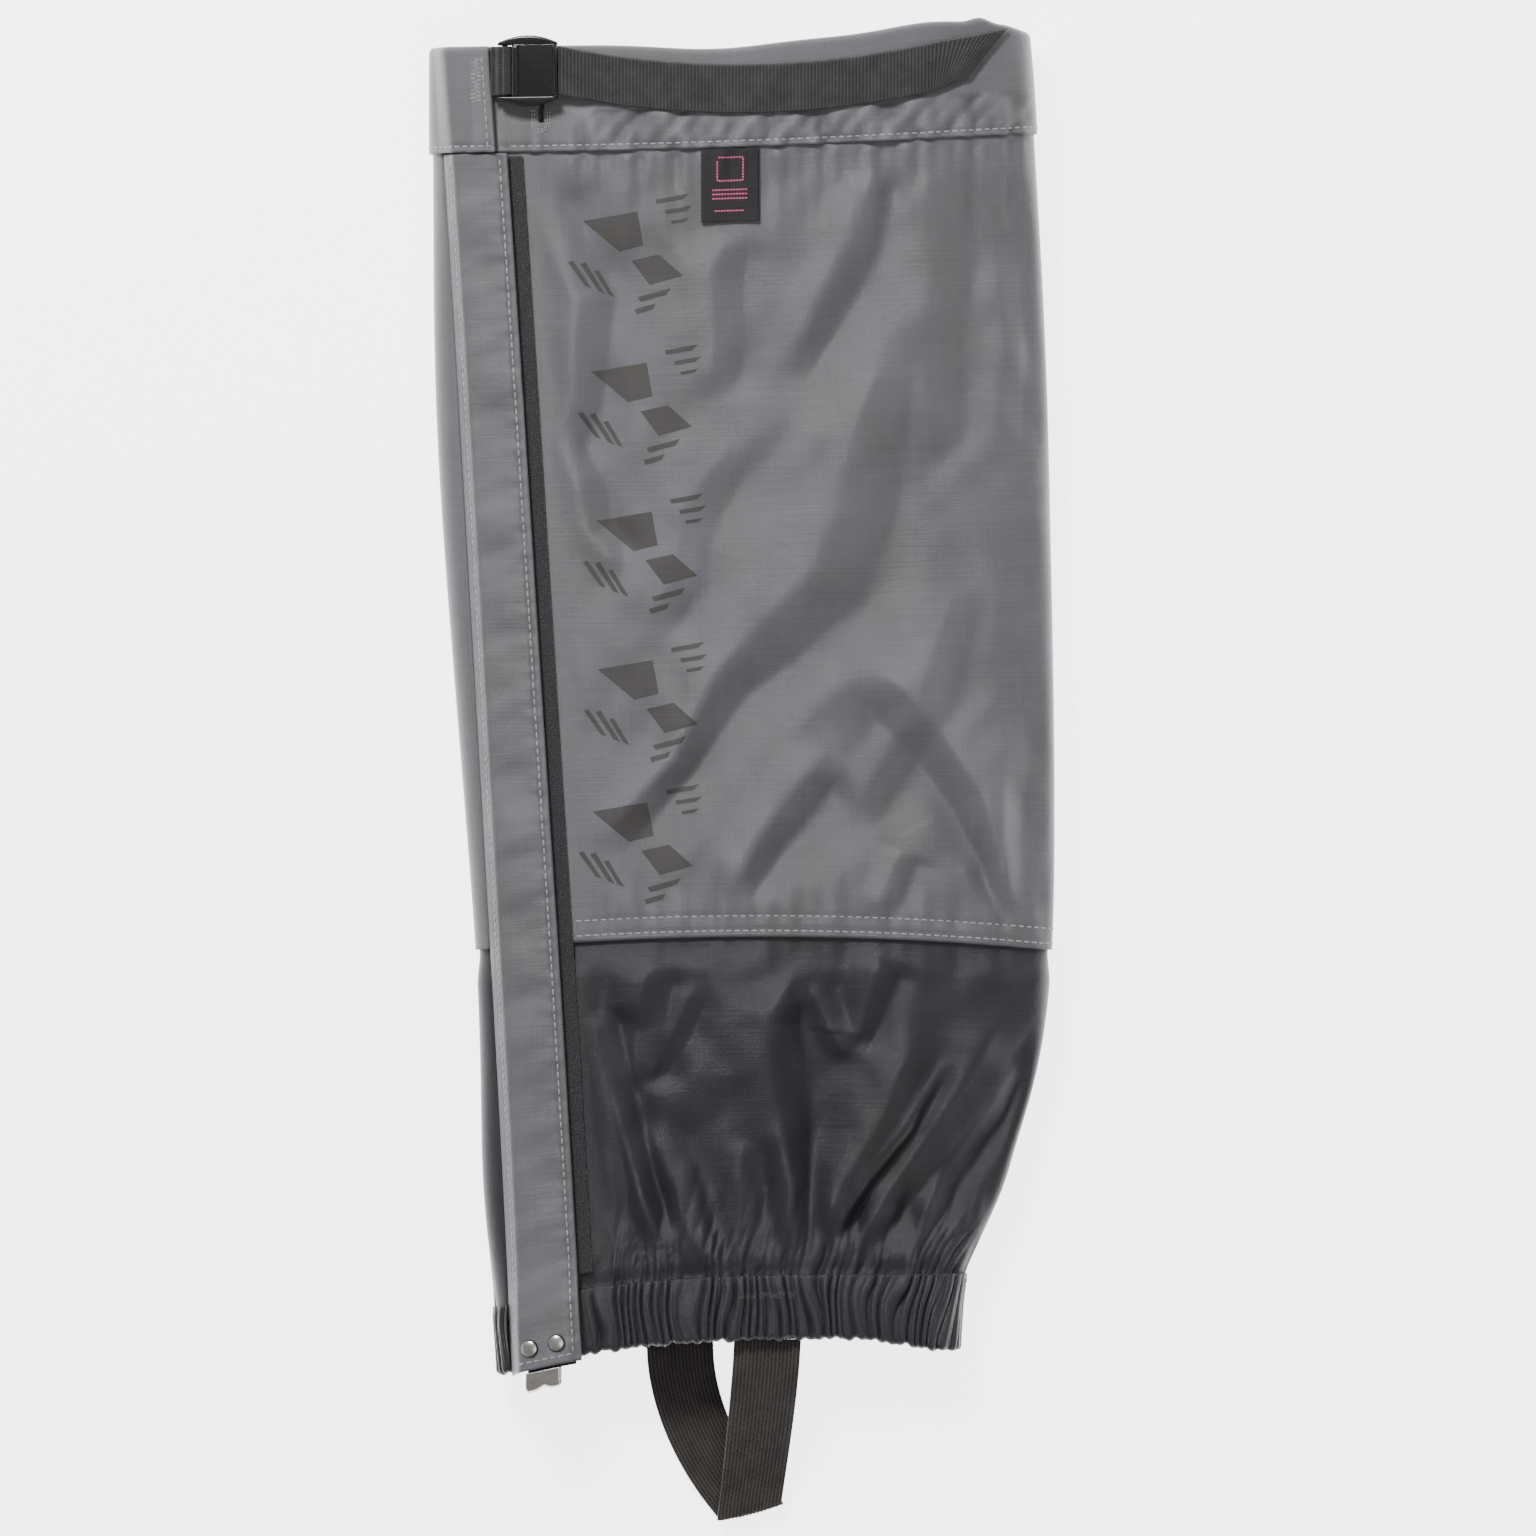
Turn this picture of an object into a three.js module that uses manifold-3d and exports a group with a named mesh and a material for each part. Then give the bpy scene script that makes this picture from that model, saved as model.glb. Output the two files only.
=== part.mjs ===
// A calf-length gaiter lying on its back layer: a leg tube of coated nylon with a webbing cuff,
// a touch-fastened front flap, an elastic ankle hem, a lace hook and an instep strap.
// Millimetres, +Z up, +Y towards the cuff, +X towards the back of the calf.
import * as THREE from 'three';
import { mergeVertices } from 'three/addons/utils/BufferGeometryUtils.js';
import Module from 'manifold-3d';

// Leg tube, measured laid flat. "v" runs along the leg and "x" across it.
const LEG_LENGTH = 424;
const TOP_SHIFT = 25.44;
const CUFF_WIDTH = 196;
const CALF_WIDTH = 199;
const SEAM_WIDTH = 188;
const ANKLE_WIDTH = 172;
const HEM_WIDTH = 147;
const FRONT_LINE_X = -98.5;
const FRONT_LINE_SLANT = 22.5;
const FOLD_OUT_TOP = 1.19;
const FOLD_OUT_CUFF = 3.5;
const FOLD_OUT_CALF = 7.48;
const FOLD_OUT_SEAM = 4.65;
const FOLD_OUT_ANKLE = 6.19;
const FOLD_OUT_HEM = 3.81;
const FOLD_OUT_END = 3.09;
const SHOULDER_TOP = 20;
const SHOULDER_HEM = 15.5;
const FOLD_SHARE = 0.36;
const CROWN_POWER = 0.6;
const FLATTEN = 1.5;
const CUFF_RISE = 7;
const HEM_DROOP = 12;

// Cloth and the room between its layers.
const CLOTH = 1.0;
const LAYER_GAP = 0.4;
const EDGE_GAP = 0.3;
const TAPE = 0.8;
const TUCK = 5;

// Cuff, a folded band over the tube's top edge, closed by a webbing strap.
const CUFF_HEIGHT = 35;
const CUFF_LEG = 0.9;
const STRAP_WIDTH = 16;
const STRAP_THICK = 0.9;
const STRAP_INSET = 2.5;
const TAIL_LENGTH = 139;
const TAIL_DIP = 7.8;
const TAIL_SLANT = 12.5;
const BUTTONHOLE_LENGTH = 23.4;
const BUTTONHOLE_WIDTH = 3.6;
const BUTTONHOLE_INSET = 33;

// Two-tone body.
const UPPER_LENGTH = 297;
const SEAM_OVERLAP = 12;
const THREAD = 0.5;
const ROW_SPACING = 5;
const THREAD_BAND = 1.2;

// Front flap with its touch tapes.
const FLAP_TOP_WIDTH = 21;
const FLAP_BOTTOM_WIDTH = 23;
const FLAP_OVERHANG = 2;
const UNDERLAP = 7;
const HOOK_TAPE_WIDTH = 11;
const LOOP_SHOWS = 4.5;
const EDGE_STITCH = 2.6;

// Ladder buckle.
const BUCKLE_INSET = 22;
const BUCKLE_SHIFT = 2;
const BAR_RADIUS = 1.0;
const RAIL = 1.6;
const RAIL_BULGE = 3.0;
const PLATE_THICK = 1.5;
const PLATE_LENGTH = 14.4;
const TAB_RETURN = 4;

// Woven label.
const LABEL_WIDTH = 19;
const LABEL_HEIGHT = 24;
const LABEL_INSET = 87.5;
const LABEL_THICK = 0.6;

// Ankle hem with elastic.
const HEM_HEIGHT = 20.5;
const ELASTIC_WIDTH = 11;

// Rivets, lace hook and its webbing patch.
const RIVET_CAP = 2.9;
const RIVET_SHANK = 1.1;
const RIVET_DOME = 1.3;
const RIVET_SPACING = 8;
const RIVET_ABOVE_EDGE = 7;
const HOOK_WIDTH = 10.3;
const HOOK_SHEET = 0.8;
const HOOK_REACH = 6.5;
const HOOK_THROAT = 2.4;
const HOOK_ROOM = 2.8;
const HOOK_CUSP = 1.6;
const PATCH_WIDTH = 15;
const PATCH_HEIGHT = 12;
const PATCH_SHIFT = 2.5;

// Instep strap, a sewn loop under the boot.
const INSTEP_WIDTH = 22;
const INSTEP_THICK = 1.4;
const INSTEP_DROP = 57;
const INSTEP_FRONT_INSET = 86.5;
const INSTEP_BACK_INSET = 57.5;
const INSTEP_CREASE_INSET = 80.5;
const INSTEP_SEWN = 14;
const BARTACK_WIDTH = 18.5;
const BARTACK_HEIGHT = 3;
const BARTACK_INSET = 5.1;
const CREASE_RADIUS = 1.2;
const CREASE_ANGLE = 0.25;

// Facets.
const ROUND_STEPS = 52;
const LENGTH_STEPS = 8;
const PATCH_STEPS = 5;

// Heights along the leg, from the middle of its length.
const TOP = LEG_LENGTH / 2 + TOP_SHIFT;
const HEM = TOP - LEG_LENGTH;
const CUFF_EDGE = TOP - CUFF_HEIGHT;
const PANEL_EDGE = TOP - UPPER_LENGTH;
const HEM_EDGE = HEM + HEM_HEIGHT;
const FLAP_TOP = CUFF_EDGE - EDGE_GAP;
const FLAP_END = HEM - FLAP_OVERHANG;

// Layer heights above the inner face of the cloth.
const OUTER_LEG = CLOTH + LAYER_GAP;
const CUFF_TOP_FACE = OUTER_LEG + CUFF_LEG;
const LOOP_BASE = CLOTH + LAYER_GAP;
const HOOK_BASE = LOOP_BASE + TAPE + LAYER_GAP;
const LIFT = Math.max(HOOK_BASE + TAPE + LAYER_GAP, CUFF_TOP_FACE + LAYER_GAP + LAYER_GAP + CUFF_LEG);

const COLOURS = {
  greyCloth: { color: 0x7b7b80, roughness: 0.55, metalness: 0 },
  charcoalCloth: { color: 0x3c3b3f, roughness: 0.6, metalness: 0 },
  webbing: { color: 0x43413f, roughness: 0.85, metalness: 0 },
  elastic: { color: 0x2c2a2c, roughness: 0.9, metalness: 0 },
  plastic: { color: 0x1c1b1d, roughness: 0.25, metalness: 0 },
  nickel: { color: 0xb9b6b0, roughness: 0.25, metalness: 1 },
  tape: { color: 0x3e3e41, roughness: 0.95, metalness: 0 },
  thread: { color: 0xa4a4a8, roughness: 0.7, metalness: 0 },
  label: { color: 0x201f21, roughness: 0.8, metalness: 0 },
};

const wasm = await Module();
wasm.setup();

// ---- the leg tube's surface ----

const mix = (a, b, share) => a + (b - a) * share;

function ease(share) {
  const s = Math.min(1, Math.max(0, share));
  return s * s * (3 - 2 * s);
}

function spline(points) {
  const curve = new THREE.SplineCurve(points.map(([v, size]) => new THREE.Vector2(v, size)));
  const samples = curve.getPoints(points.length * 24);
  return (v) => {
    const next = samples.findIndex((p) => p.x <= v);
    if (next === 0) return samples[0].y;
    if (next < 0) return samples[samples.length - 1].y;
    const [a, b] = [samples[next - 1], samples[next]];
    return mix(a.y, b.y, (a.x - v) / (a.x - b.x));
  };
}

const ANKLE = mix(PANEL_EDGE, HEM, 0.55);
const MID_CALF = mix(TOP, PANEL_EDGE, 0.46);
const widthAt = spline([
  [TOP + 5, CUFF_WIDTH - 3], [CUFF_EDGE, CUFF_WIDTH], [MID_CALF, CALF_WIDTH],
  [PANEL_EDGE, SEAM_WIDTH], [ANKLE, ANKLE_WIDTH], [HEM_EDGE, HEM_WIDTH + 5], [HEM - 5, HEM_WIDTH],
]);
// The flap is sewn on along a straight slanted line, and the front fold lies a little outside it.
const foldOutAt = spline([
  [TOP + 5, FOLD_OUT_TOP], [CUFF_EDGE, FOLD_OUT_CUFF], [MID_CALF, FOLD_OUT_CALF],
  [PANEL_EDGE, FOLD_OUT_SEAM], [ANKLE, FOLD_OUT_ANKLE], [HEM_EDGE, FOLD_OUT_HEM], [HEM - 5, FOLD_OUT_END],
]);
const lineShare = (v) => (CUFF_EDGE - v) / (CUFF_EDGE - HEM);
const hingeX = (v) => FRONT_LINE_X + FRONT_LINE_SLANT * lineShare(v);
const foldX = (v) => hingeX(v) - foldOutAt(v);
const centreAt = (v) => foldX(v) + widthAt(v) / 2;

const swellOf = (sine) => Math.abs(sine) ** CROWN_POWER;

// The tube is as deep as keeps that line straight in height too, so that it works as a hinge.
function depthAt(height) {
  const v = Math.min(height, CUFF_EDGE);
  const sine = Math.sin(Math.acos(1 - foldOutAt(v) / (widthAt(v) / 2)));
  return mix(SHOULDER_TOP, SHOULDER_HEM, lineShare(v)) / mix(FOLD_SHARE, 1, swellOf(sine));
}

// Real heights lean away from v: the cuff rises to the back and the hem droops at the front.
function lean(v, x) {
  const across = (x - centreAt(v)) / widthAt(v) + 0.5;
  const rise = CUFF_RISE * ease((v - PANEL_EDGE) / (TOP - PANEL_EDGE)) * across ** 2;
  const droop = HEM_DROOP * ease((PANEL_EDGE - v) / (PANEL_EDGE - HEM)) * (1 - across) ** 4;
  return rise - droop;
}

function section(theta, v) {
  const depth = depthAt(v);
  const fold = depth * FOLD_SHARE;
  const s = Math.sin(theta);
  const swell = swellOf(s);
  const z = s > 0 ? fold + (depth - fold) * swell : Math.max(0, fold * (1 - FLATTEN * swell));
  return new THREE.Vector2(centreAt(v) + (widthAt(v) / 2) * Math.cos(theta), z);
}

// The point at angle theta round the tube, at height v, a distance t outside its inner face.
function on(theta, v, t) {
  const step = 0.01;
  const p = section(theta, v);
  const along = section(theta + step, v).sub(section(theta - step, v)).normalize();
  return new THREE.Vector3(p.x + along.y * t, v + lean(v, p.x), p.y - along.x * t);
}

function angleAt(x, v) {
  const share = (x - centreAt(v)) / (widthAt(v) / 2);
  return Math.acos(Math.min(1, Math.max(-1, share)));
}

const over = (x, v, t) => on(angleAt(x, v), v, t);

// ---- lines that several pieces share ----

const flapWidth = (v) => mix(FLAP_TOP_WIDTH, FLAP_BOTTOM_WIDTH, lineShare(v));
const freeX = (v) => hingeX(v) + flapWidth(v);
const underX = (v) => hingeX(v) + UNDERLAP;
const liftFull = (v) => LIFT + HOOK_ROOM * ease((HEM_EDGE + 11 - v) / HEM_HEIGHT);
const lift = (x, v) => liftFull(v) * ease((x - hingeX(v) + 1) / (UNDERLAP - 1));

// An angle that goes on past the front fold belongs to the overlapping end.
function wrapped(theta, v, t) {
  if (theta > -Math.PI) return on(theta, v, t);
  const x = section(theta, v).x;
  return on(theta, v, t + lift(x, v));
}

const STRAP_V = TOP - STRAP_INSET - STRAP_WIDTH / 2;
const BUTTONHOLE_X = hingeX(STRAP_V) + BUTTONHOLE_INSET;
const BUTTONHOLE_LOW = STRAP_V + STRAP_WIDTH / 2 + EDGE_GAP - BUTTONHOLE_LENGTH;
const BUCKLE_X = hingeX(STRAP_V) + BUCKLE_INSET;

const startAngle = (v) => angleAt(underX(v), v);
const hingeAngle = (v) => angleAt(hingeX(v) - EDGE_GAP, v) - 2 * Math.PI;

// ---- shared stations, so that the facets of neighbouring layers line up ----

const LEG_ROWS = [
  HEM + 3, HEM + 7, HEM + 11, HEM_EDGE - TUCK, HEM_EDGE, HEM_EDGE + 5, HEM_EDGE + 11, HEM_EDGE + 20,
  PANEL_EDGE - SEAM_OVERLAP, PANEL_EDGE, PANEL_EDGE + SEAM_OVERLAP,
];
for (let k = 1; k <= LENGTH_STEPS; k += 1) {
  LEG_ROWS.push(mix(PANEL_EDGE + SEAM_OVERLAP, CUFF_EDGE, k / LENGTH_STEPS));
  if (k < 5) LEG_ROWS.push(mix(HEM_EDGE + 20, PANEL_EDGE - SEAM_OVERLAP, k / 5));
}
const ANGLE_STEP = (2 * Math.PI) / ROUND_STEPS;
const ROUND_ANGLES = Array.from({ length: ROUND_STEPS * 2 }, (_, k) => (ROUND_STEPS / 2 - k) * ANGLE_STEP);

// Both ends, and every shared station that lies well between them.
function stops(shared, first, last, margin) {
  const [low, high] = first < last ? [first, last] : [last, first];
  const inside = shared.filter((s) => s > low + margin && s < high - margin).sort((a, b) => a - b);
  if (first > last) inside.reverse();
  return [first, ...inside, last];
}

const channelOf = (middle, width) => [middle - width / 2, middle + width / 2];
const rowsBetween = (low, high) => stops(LEG_ROWS, low, high, 1.5);
const anglesBetween = (from, to, margin = 0.7) => stops(ROUND_ANGLES, from, to, ANGLE_STEP * margin);

// ---- solids ----

function facingOut(geometry) {
  const spot = geometry.attributes.position;
  const index = geometry.index.array;
  const corner = [0, 1, 2].map(() => new THREE.Vector3());
  let volume = 0;
  for (let i = 0; i < index.length; i += 3) {
    corner.forEach((c, k) => c.fromBufferAttribute(spot, index[i + k]));
    volume += corner[0].dot(corner[1].clone().cross(corner[2]));
  }
  if (volume < 0) {
    for (let i = 0; i < index.length; i += 3) [index[i], index[i + 1]] = [index[i + 1], index[i]];
  }
  geometry.computeVertexNormals();
  return geometry;
}

function merged(geometry) {
  const bare = geometry.clone();
  bare.deleteAttribute('normal');
  if (bare.attributes.uv) bare.deleteAttribute('uv');
  return mergeVertices(bare, 1e-4);
}

function moved(geometry, place) {
  const solid = merged(geometry);
  const spot = solid.attributes.position;
  for (let i = 0; i < spot.count; i += 1) {
    const at = place(spot.getX(i), spot.getY(i), spot.getZ(i));
    spot.setXYZ(i, at.x, at.y, at.z);
  }
  return facingOut(solid);
}

// A unit block cut into columns and rows, then bent by place(u, v, w), each from 0 to 1.
function bent(columns, rows, place) {
  const block = new THREE.BoxGeometry(1, 1, 1, columns, rows, 1);
  return moved(block, (x, y, z) => place(x + 0.5, y + 0.5, z + 0.5));
}

// A solid drawn flat, x across, y along the leg and z outward, is laid on the tube's upper face.
const laid = (geometry) => moved(geometry, over);

function toManifold(geometry) {
  const solid = merged(geometry);
  return new wasm.Manifold(new wasm.Mesh({
    numProp: 3,
    vertProperties: new Float32Array(solid.attributes.position.array),
    triVerts: new Uint32Array(solid.index.array),
  }));
}

function fromManifold(solid) {
  const mesh = solid.getMesh();
  const geometry = new THREE.BufferGeometry();
  geometry.setAttribute('position', new THREE.BufferAttribute(new Float32Array(mesh.vertProperties), 3));
  geometry.setIndex(new THREE.BufferAttribute(new Uint32Array(mesh.triVerts), 1));
  return geometry;
}

function cut(geometry, ...tools) {
  const left = tools.reduce((solid, tool) => solid.subtract(toManifold(tool)), toManifold(geometry));
  return facingOut(fromManifold(left));
}

function join(first, ...others) {
  return fromManifold(others.reduce((solid, other) => solid.add(toManifold(other)), toManifold(first)));
}

function block(x0, x1, y0, y1, z0, z1, columns = 1, rows = 1) {
  const geometry = new THREE.BoxGeometry(x1 - x0, y1 - y0, z1 - z0, columns, rows, 1);
  return geometry.translate((x0 + x1) / 2, (y0 + y1) / 2, (z0 + z1) / 2);
}

// A flat strip of webbing along stations { x or angle, v, t }, bent in the planes across the leg.
function ribbon(stations, width, thickness, slant = 0) {
  const count = stations.length - 1;
  const centre = (i, v) => {
    const s = stations[i];
    return wrapped(s.angle ?? angleAt(s.x, v), v, s.t);
  };
  return bent(count, 1, (u, across, w) => {
    const i = Math.round(u * count);
    const v = stations[i].v + (across - 0.5) * width;
    const p = centre(i, v);
    const along = centre(Math.min(count, i + 1), v).sub(centre(Math.max(0, i - 1), v)).setY(0).normalize();
    const side = (w - 0.5) * thickness;
    const end = i === count ? slant * (across - 0.5) : 0;
    return new THREE.Vector3(p.x - along.z * side + along.x * end, p.y, p.z + along.x * side + along.z * end);
  });
}

// Something that runs round the tube: place(angle, v, w) at the shared angles, rows from low to high.
function around(rows, from, to, place) {
  const middle = rows[Math.floor(rows.length / 2)];
  const angles = anglesBetween(from(middle), to(middle));
  const last = angles.length - 1;
  return bent(last, rows.length - 1, (u, q, w) => {
    const i = Math.round(u * last);
    const row = Math.round(q * (rows.length - 1));
    const angleOf = (v) => (i === 0 ? from(v) : i === last ? to(v) : angles[i]);
    return place(angleOf, row, w);
  });
}

// A band folded over an edge: one leg outside, a round fold, and one leg inside. What runs inside it
// lies between the heights "channel", from the edge to the fold.
function foldedBand(edge, foldAt, from, to, channel) {
  const outer = OUTER_LEG + CUFF_LEG / 2;
  const inner = -LAYER_GAP - CUFF_LEG / 2;
  const radius = (outer - inner) / 2;
  const up = Math.sign(foldAt - edge);
  const turn = foldAt - up * (radius + CUFF_LEG / 2);
  const path = [edge, edge + up * TUCK, ...channel, turn].map((v) => ({ v, t: outer, dv: 0, dt: 1 }));
  for (let k = 1; k < 4; k += 1) {
    const a = (Math.PI * k) / 4;
    const dv = up * Math.sin(a);
    const dt = Math.cos(a);
    path.push({ v: turn + dv * radius, t: inner + radius * (1 + dt), dv, dt });
  }
  const back = [turn, ...[...channel].reverse(), edge + up * TUCK, edge + up * EDGE_GAP];
  back.forEach((v) => path.push({ v, t: inner, dv: 0, dt: -1 }));
  return around(path.map((p) => p.v), from, to, (angleOf, row, w) => {
    const { v, t, dv, dt } = path[row];
    const side = (w - 0.5) * CUFF_LEG;
    return wrapped(angleOf(v + dv * side), v + dv * side, t + dt * side);
  });
}

// One layer of cloth round the tube, between two heights.
function panel(low, high, offset) {
  const rows = rowsBetween(low, high);
  return around(rows, startAngle, hingeAngle, (angleOf, row, w) => {
    return wrapped(angleOf(rows[row]), rows[row], w * CLOTH + offset(rows[row]));
  });
}

// A strip on the upper face between two slanted lines.
function strip(left, right, low, high, base, thickness, columns = 4) {
  const rows = rowsBetween(low, high);
  return bent(columns, rows.length - 1, (u, q, w) => {
    const v = rows[Math.round(q * (rows.length - 1))];
    const x = mix(left(v), right(v), u);
    return over(x, v, base(x, v) + w * thickness);
  });
}

// ---- cloth body ----

const upperPanel = () => panel(PANEL_EDGE, CUFF_EDGE + TUCK, () => 0);

// The lower panel's top edge lies inside the upper panel.
function lowerPanel() {
  const tuck = (v) => -(CLOTH + LAYER_GAP) * ease((v - PANEL_EDGE) / SEAM_OVERLAP + 1);
  return panel(HEM_EDGE - TUCK, PANEL_EDGE + SEAM_OVERLAP, tuck);
}

const cuffEnd = (v) => angleAt(freeX(v) - LOOP_SHOWS + 1, v) - 2 * Math.PI;

function cuff() {
  const half = BUTTONHOLE_WIDTH / 2;
  const high = BUTTONHOLE_LOW + BUTTONHOLE_LENGTH;
  const depth = [OUTER_LEG - EDGE_GAP, CUFF_TOP_FACE + EDGE_GAP];
  const slot = block(BUTTONHOLE_X - half, BUTTONHOLE_X + half, BUTTONHOLE_LOW, high, ...depth);
  return cut(foldedBand(CUFF_EDGE, TOP, startAngle, cuffEnd, channelOf(STRAP_V, STRAP_WIDTH)), laid(slot));
}

function buttonholeStitch() {
  const inner = BUTTONHOLE_WIDTH / 2 + EDGE_GAP;
  const ring = new THREE.Shape();
  ring.absarc(0, 0, inner + THREAD_BAND, Math.PI, 2 * Math.PI);
  ring.lineTo(inner, 0);
  ring.absarc(0, 0, inner, 2 * Math.PI, Math.PI, true);
  const bead = new THREE.ExtrudeGeometry(ring, { depth: THREAD, bevelEnabled: false, curveSegments: 8 });
  return laid(bead.translate(BUTTONHOLE_X, BUTTONHOLE_LOW, CUFF_TOP_FACE + EDGE_GAP));
}

// A line of thread along the cloth at height v, between two angles.
function threadRow(v, base, from, to) {
  const rows = [v - THREAD / 2, v + THREAD / 2];
  return around(rows, from, to, (angleOf, row, w) => wrapped(angleOf(v), rows[row], base + w * THREAD));
}

// ---- ankle hem ----

const ELASTIC_V = mix(HEM + CUFF_LEG * 2, HEM_EDGE - TUCK, 0.5) + EDGE_GAP;
const hem = () => {
  return foldedBand(HEM_EDGE, HEM, startAngle, hingeAngle, channelOf(ELASTIC_V, -ELASTIC_WIDTH));
};

function ankleElastic() {
  const rows = channelOf(ELASTIC_V, ELASTIC_WIDTH);
  return around(rows, startAngle, hingeAngle, (angleOf, row, w) => {
    return wrapped(angleOf(rows[row]), rows[row], (CLOTH - CUFF_LEG) / 2 + w * CUFF_LEG);
  });
}

// ---- front flap ----

function flapSolid() {
  return strip(hingeX, freeX, FLAP_END, FLAP_TOP, lift, CLOTH, 9);
}

function rivetPlaces() {
  const v = FLAP_END + RIVET_ABOVE_EDGE;
  const middle = (hingeX(v) + freeX(v)) / 2;
  return [-1, 1].map((side) => ({ x: middle + (side * RIVET_SPACING) / 2, v }));
}

function standing(geometry, { x, v }) {
  const foot = over(x, v, lift(x, v));
  const head = over(x, v, lift(x, v) + 1);
  const turn = new THREE.Quaternion().setFromUnitVectors(new THREE.Vector3(0, 1, 0), head.sub(foot));
  return geometry.applyQuaternion(turn).translate(foot.x, foot.y, foot.z);
}

function shankHoles() {
  const radius = RIVET_SHANK + EDGE_GAP;
  return rivetPlaces().map((place) => standing(new THREE.CylinderGeometry(radius, radius, 12, 16), place));
}

const flap = () => cut(flapSolid(), ...shankHoles());

function rivet(place) {
  const under = -LAYER_GAP * 3 - TAPE - HOOK_SHEET;
  const seat = CLOTH + EDGE_GAP;
  const profile = [
    [0, under - HOOK_SHEET], [RIVET_SHANK * 1.7, under - HOOK_SHEET], [RIVET_SHANK * 1.7, under],
    [RIVET_SHANK, under], [RIVET_SHANK, seat], [RIVET_CAP, seat], [RIVET_CAP, seat + RIVET_DOME * 0.3],
    [RIVET_CAP * 0.75, seat + RIVET_DOME * 0.8], [RIVET_CAP * 0.35, seat + RIVET_DOME], [0, seat + RIVET_DOME],
  ];
  const lathe = new THREE.LatheGeometry(profile.map(([r, y]) => new THREE.Vector2(r, y)), 16);
  return facingOut(merged(standing(lathe, place)));
}

function hookPatch() {
  const [a, b] = rivetPlaces();
  const middle = (a.x + b.x) / 2;
  const low = FLAP_END - EDGE_GAP * 3;
  const ends = channelOf(middle + PATCH_SHIFT, PATCH_WIDTH);
  const base = (x, v) => lift(x, v) - LAYER_GAP - TAPE;
  const patch = strip(() => ends[0], () => ends[1], low, low + PATCH_HEIGHT, base, TAPE, PATCH_STEPS);
  return cut(patch, ...shankHoles());
}

function laceHook() {
  const [a, b] = rivetPlaces();
  const left = (a.x + b.x) / 2 - HOOK_WIDTH / 2;
  const top = -LAYER_GAP * 2 - TAPE;
  const centre = top + HOOK_THROAT / 2;
  const bend = -HOOK_REACH + HOOK_THROAT / 2;
  const inner = HOOK_THROAT / 2;
  const side = new THREE.Shape();
  side.moveTo(RIVET_ABOVE_EDGE + 3, top);
  side.lineTo(RIVET_ABOVE_EDGE + 3, top - HOOK_SHEET);
  side.lineTo(bend, top - HOOK_SHEET);
  side.absarc(bend, centre, inner + HOOK_SHEET, -Math.PI / 2, Math.PI / 2, true);
  side.lineTo(-HOOK_SHEET, centre + inner + HOOK_SHEET);
  side.lineTo(-HOOK_SHEET, centre + inner);
  side.lineTo(bend, centre + inner);
  side.absarc(bend, centre, inner, Math.PI / 2, -Math.PI / 2, false);
  const sheet = new THREE.ExtrudeGeometry(side, { depth: HOOK_WIDTH, steps: 5, bevelEnabled: false, curveSegments: 6 });
  const place = (down, out, across) => {
    const x = left + across;
    const v = FLAP_END + down;
    return over(x, v, lift(x, v) + out);
  };
  const tip = new THREE.CylinderGeometry(HOOK_CUSP, HOOK_CUSP, HOOK_THROAT * 4, 4);
  tip.translate(-HOOK_REACH - HOOK_SHEET, centre, HOOK_WIDTH / 2);
  return cut(moved(sheet, place), moved(tip, place), ...shankHoles());
}

function hookTape() {
  const left = (v) => hingeX(v) + UNDERLAP + 1;
  const right = (v) => left(v) + HOOK_TAPE_WIDTH;
  const base = (x, v) => lift(x, v) - LAYER_GAP - TAPE;
  return strip(left, right, HEM_EDGE + 5, FLAP_TOP - 2, base, TAPE, 3);
}

function loopTape() {
  const left = (v) => underX(v) + 0.5;
  const right = (v) => freeX(v) + LOOP_SHOWS;
  return strip(left, right, HEM_EDGE + 5, FLAP_TOP - 1, () => LOOP_BASE, TAPE, 4);
}

function flapThread() {
  const row = (line) => (v) => line(v) - THREAD / 2;
  const rowEnd = (line) => (v) => line(v) + THREAD / 2;
  const base = (x, v) => lift(x, v) + CLOTH + LAYER_GAP;
  const root = (v) => hingeX(v) + EDGE_STITCH / 2;
  const free = (v) => freeX(v) - EDGE_STITCH;
  const low = FLAP_END + EDGE_STITCH;
  const long = (line) => strip(row(line), rowEnd(line), low, FLAP_TOP - 1, base, THREAD, 1);
  const foot = strip(row(root), rowEnd(free), low, low + THREAD, base, THREAD, 8);
  return facingOut(merged(join(long(root), long(free), foot)));
}

// ---- buckle and its strap ----

const TAB_LEVEL = LIFT + CLOTH / 2;
const BAR_WRAP = BAR_RADIUS + EDGE_GAP + STRAP_THICK / 2;
const ANCHOR_LEVEL = TAB_LEVEL + BAR_WRAP;
const FEED_LEVEL = CUFF_TOP_FACE + LAYER_GAP + STRAP_THICK / 2;
const CENTRE_BAR_LEVEL = FEED_LEVEL + BAR_WRAP;
const RETURN_LEVEL = CENTRE_BAR_LEVEL + BAR_WRAP;
const CENTRE_BAR_X = BUCKLE_X + 2 * BAR_WRAP + STRAP_THICK + LAYER_GAP;
const PLATE_X = BUCKLE_X + BAR_WRAP + STRAP_THICK / 2 + EDGE_GAP;
const PLATE_LEVEL = RETURN_LEVEL + STRAP_THICK / 2 + LAYER_GAP;
const BUCKLE_V = STRAP_V + BUCKLE_SHIFT;
const BUCKLE_END_X = PLATE_X + PLATE_LENGTH;
const TAIL_X = BUCKLE_END_X + EDGE_GAP;

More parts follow.
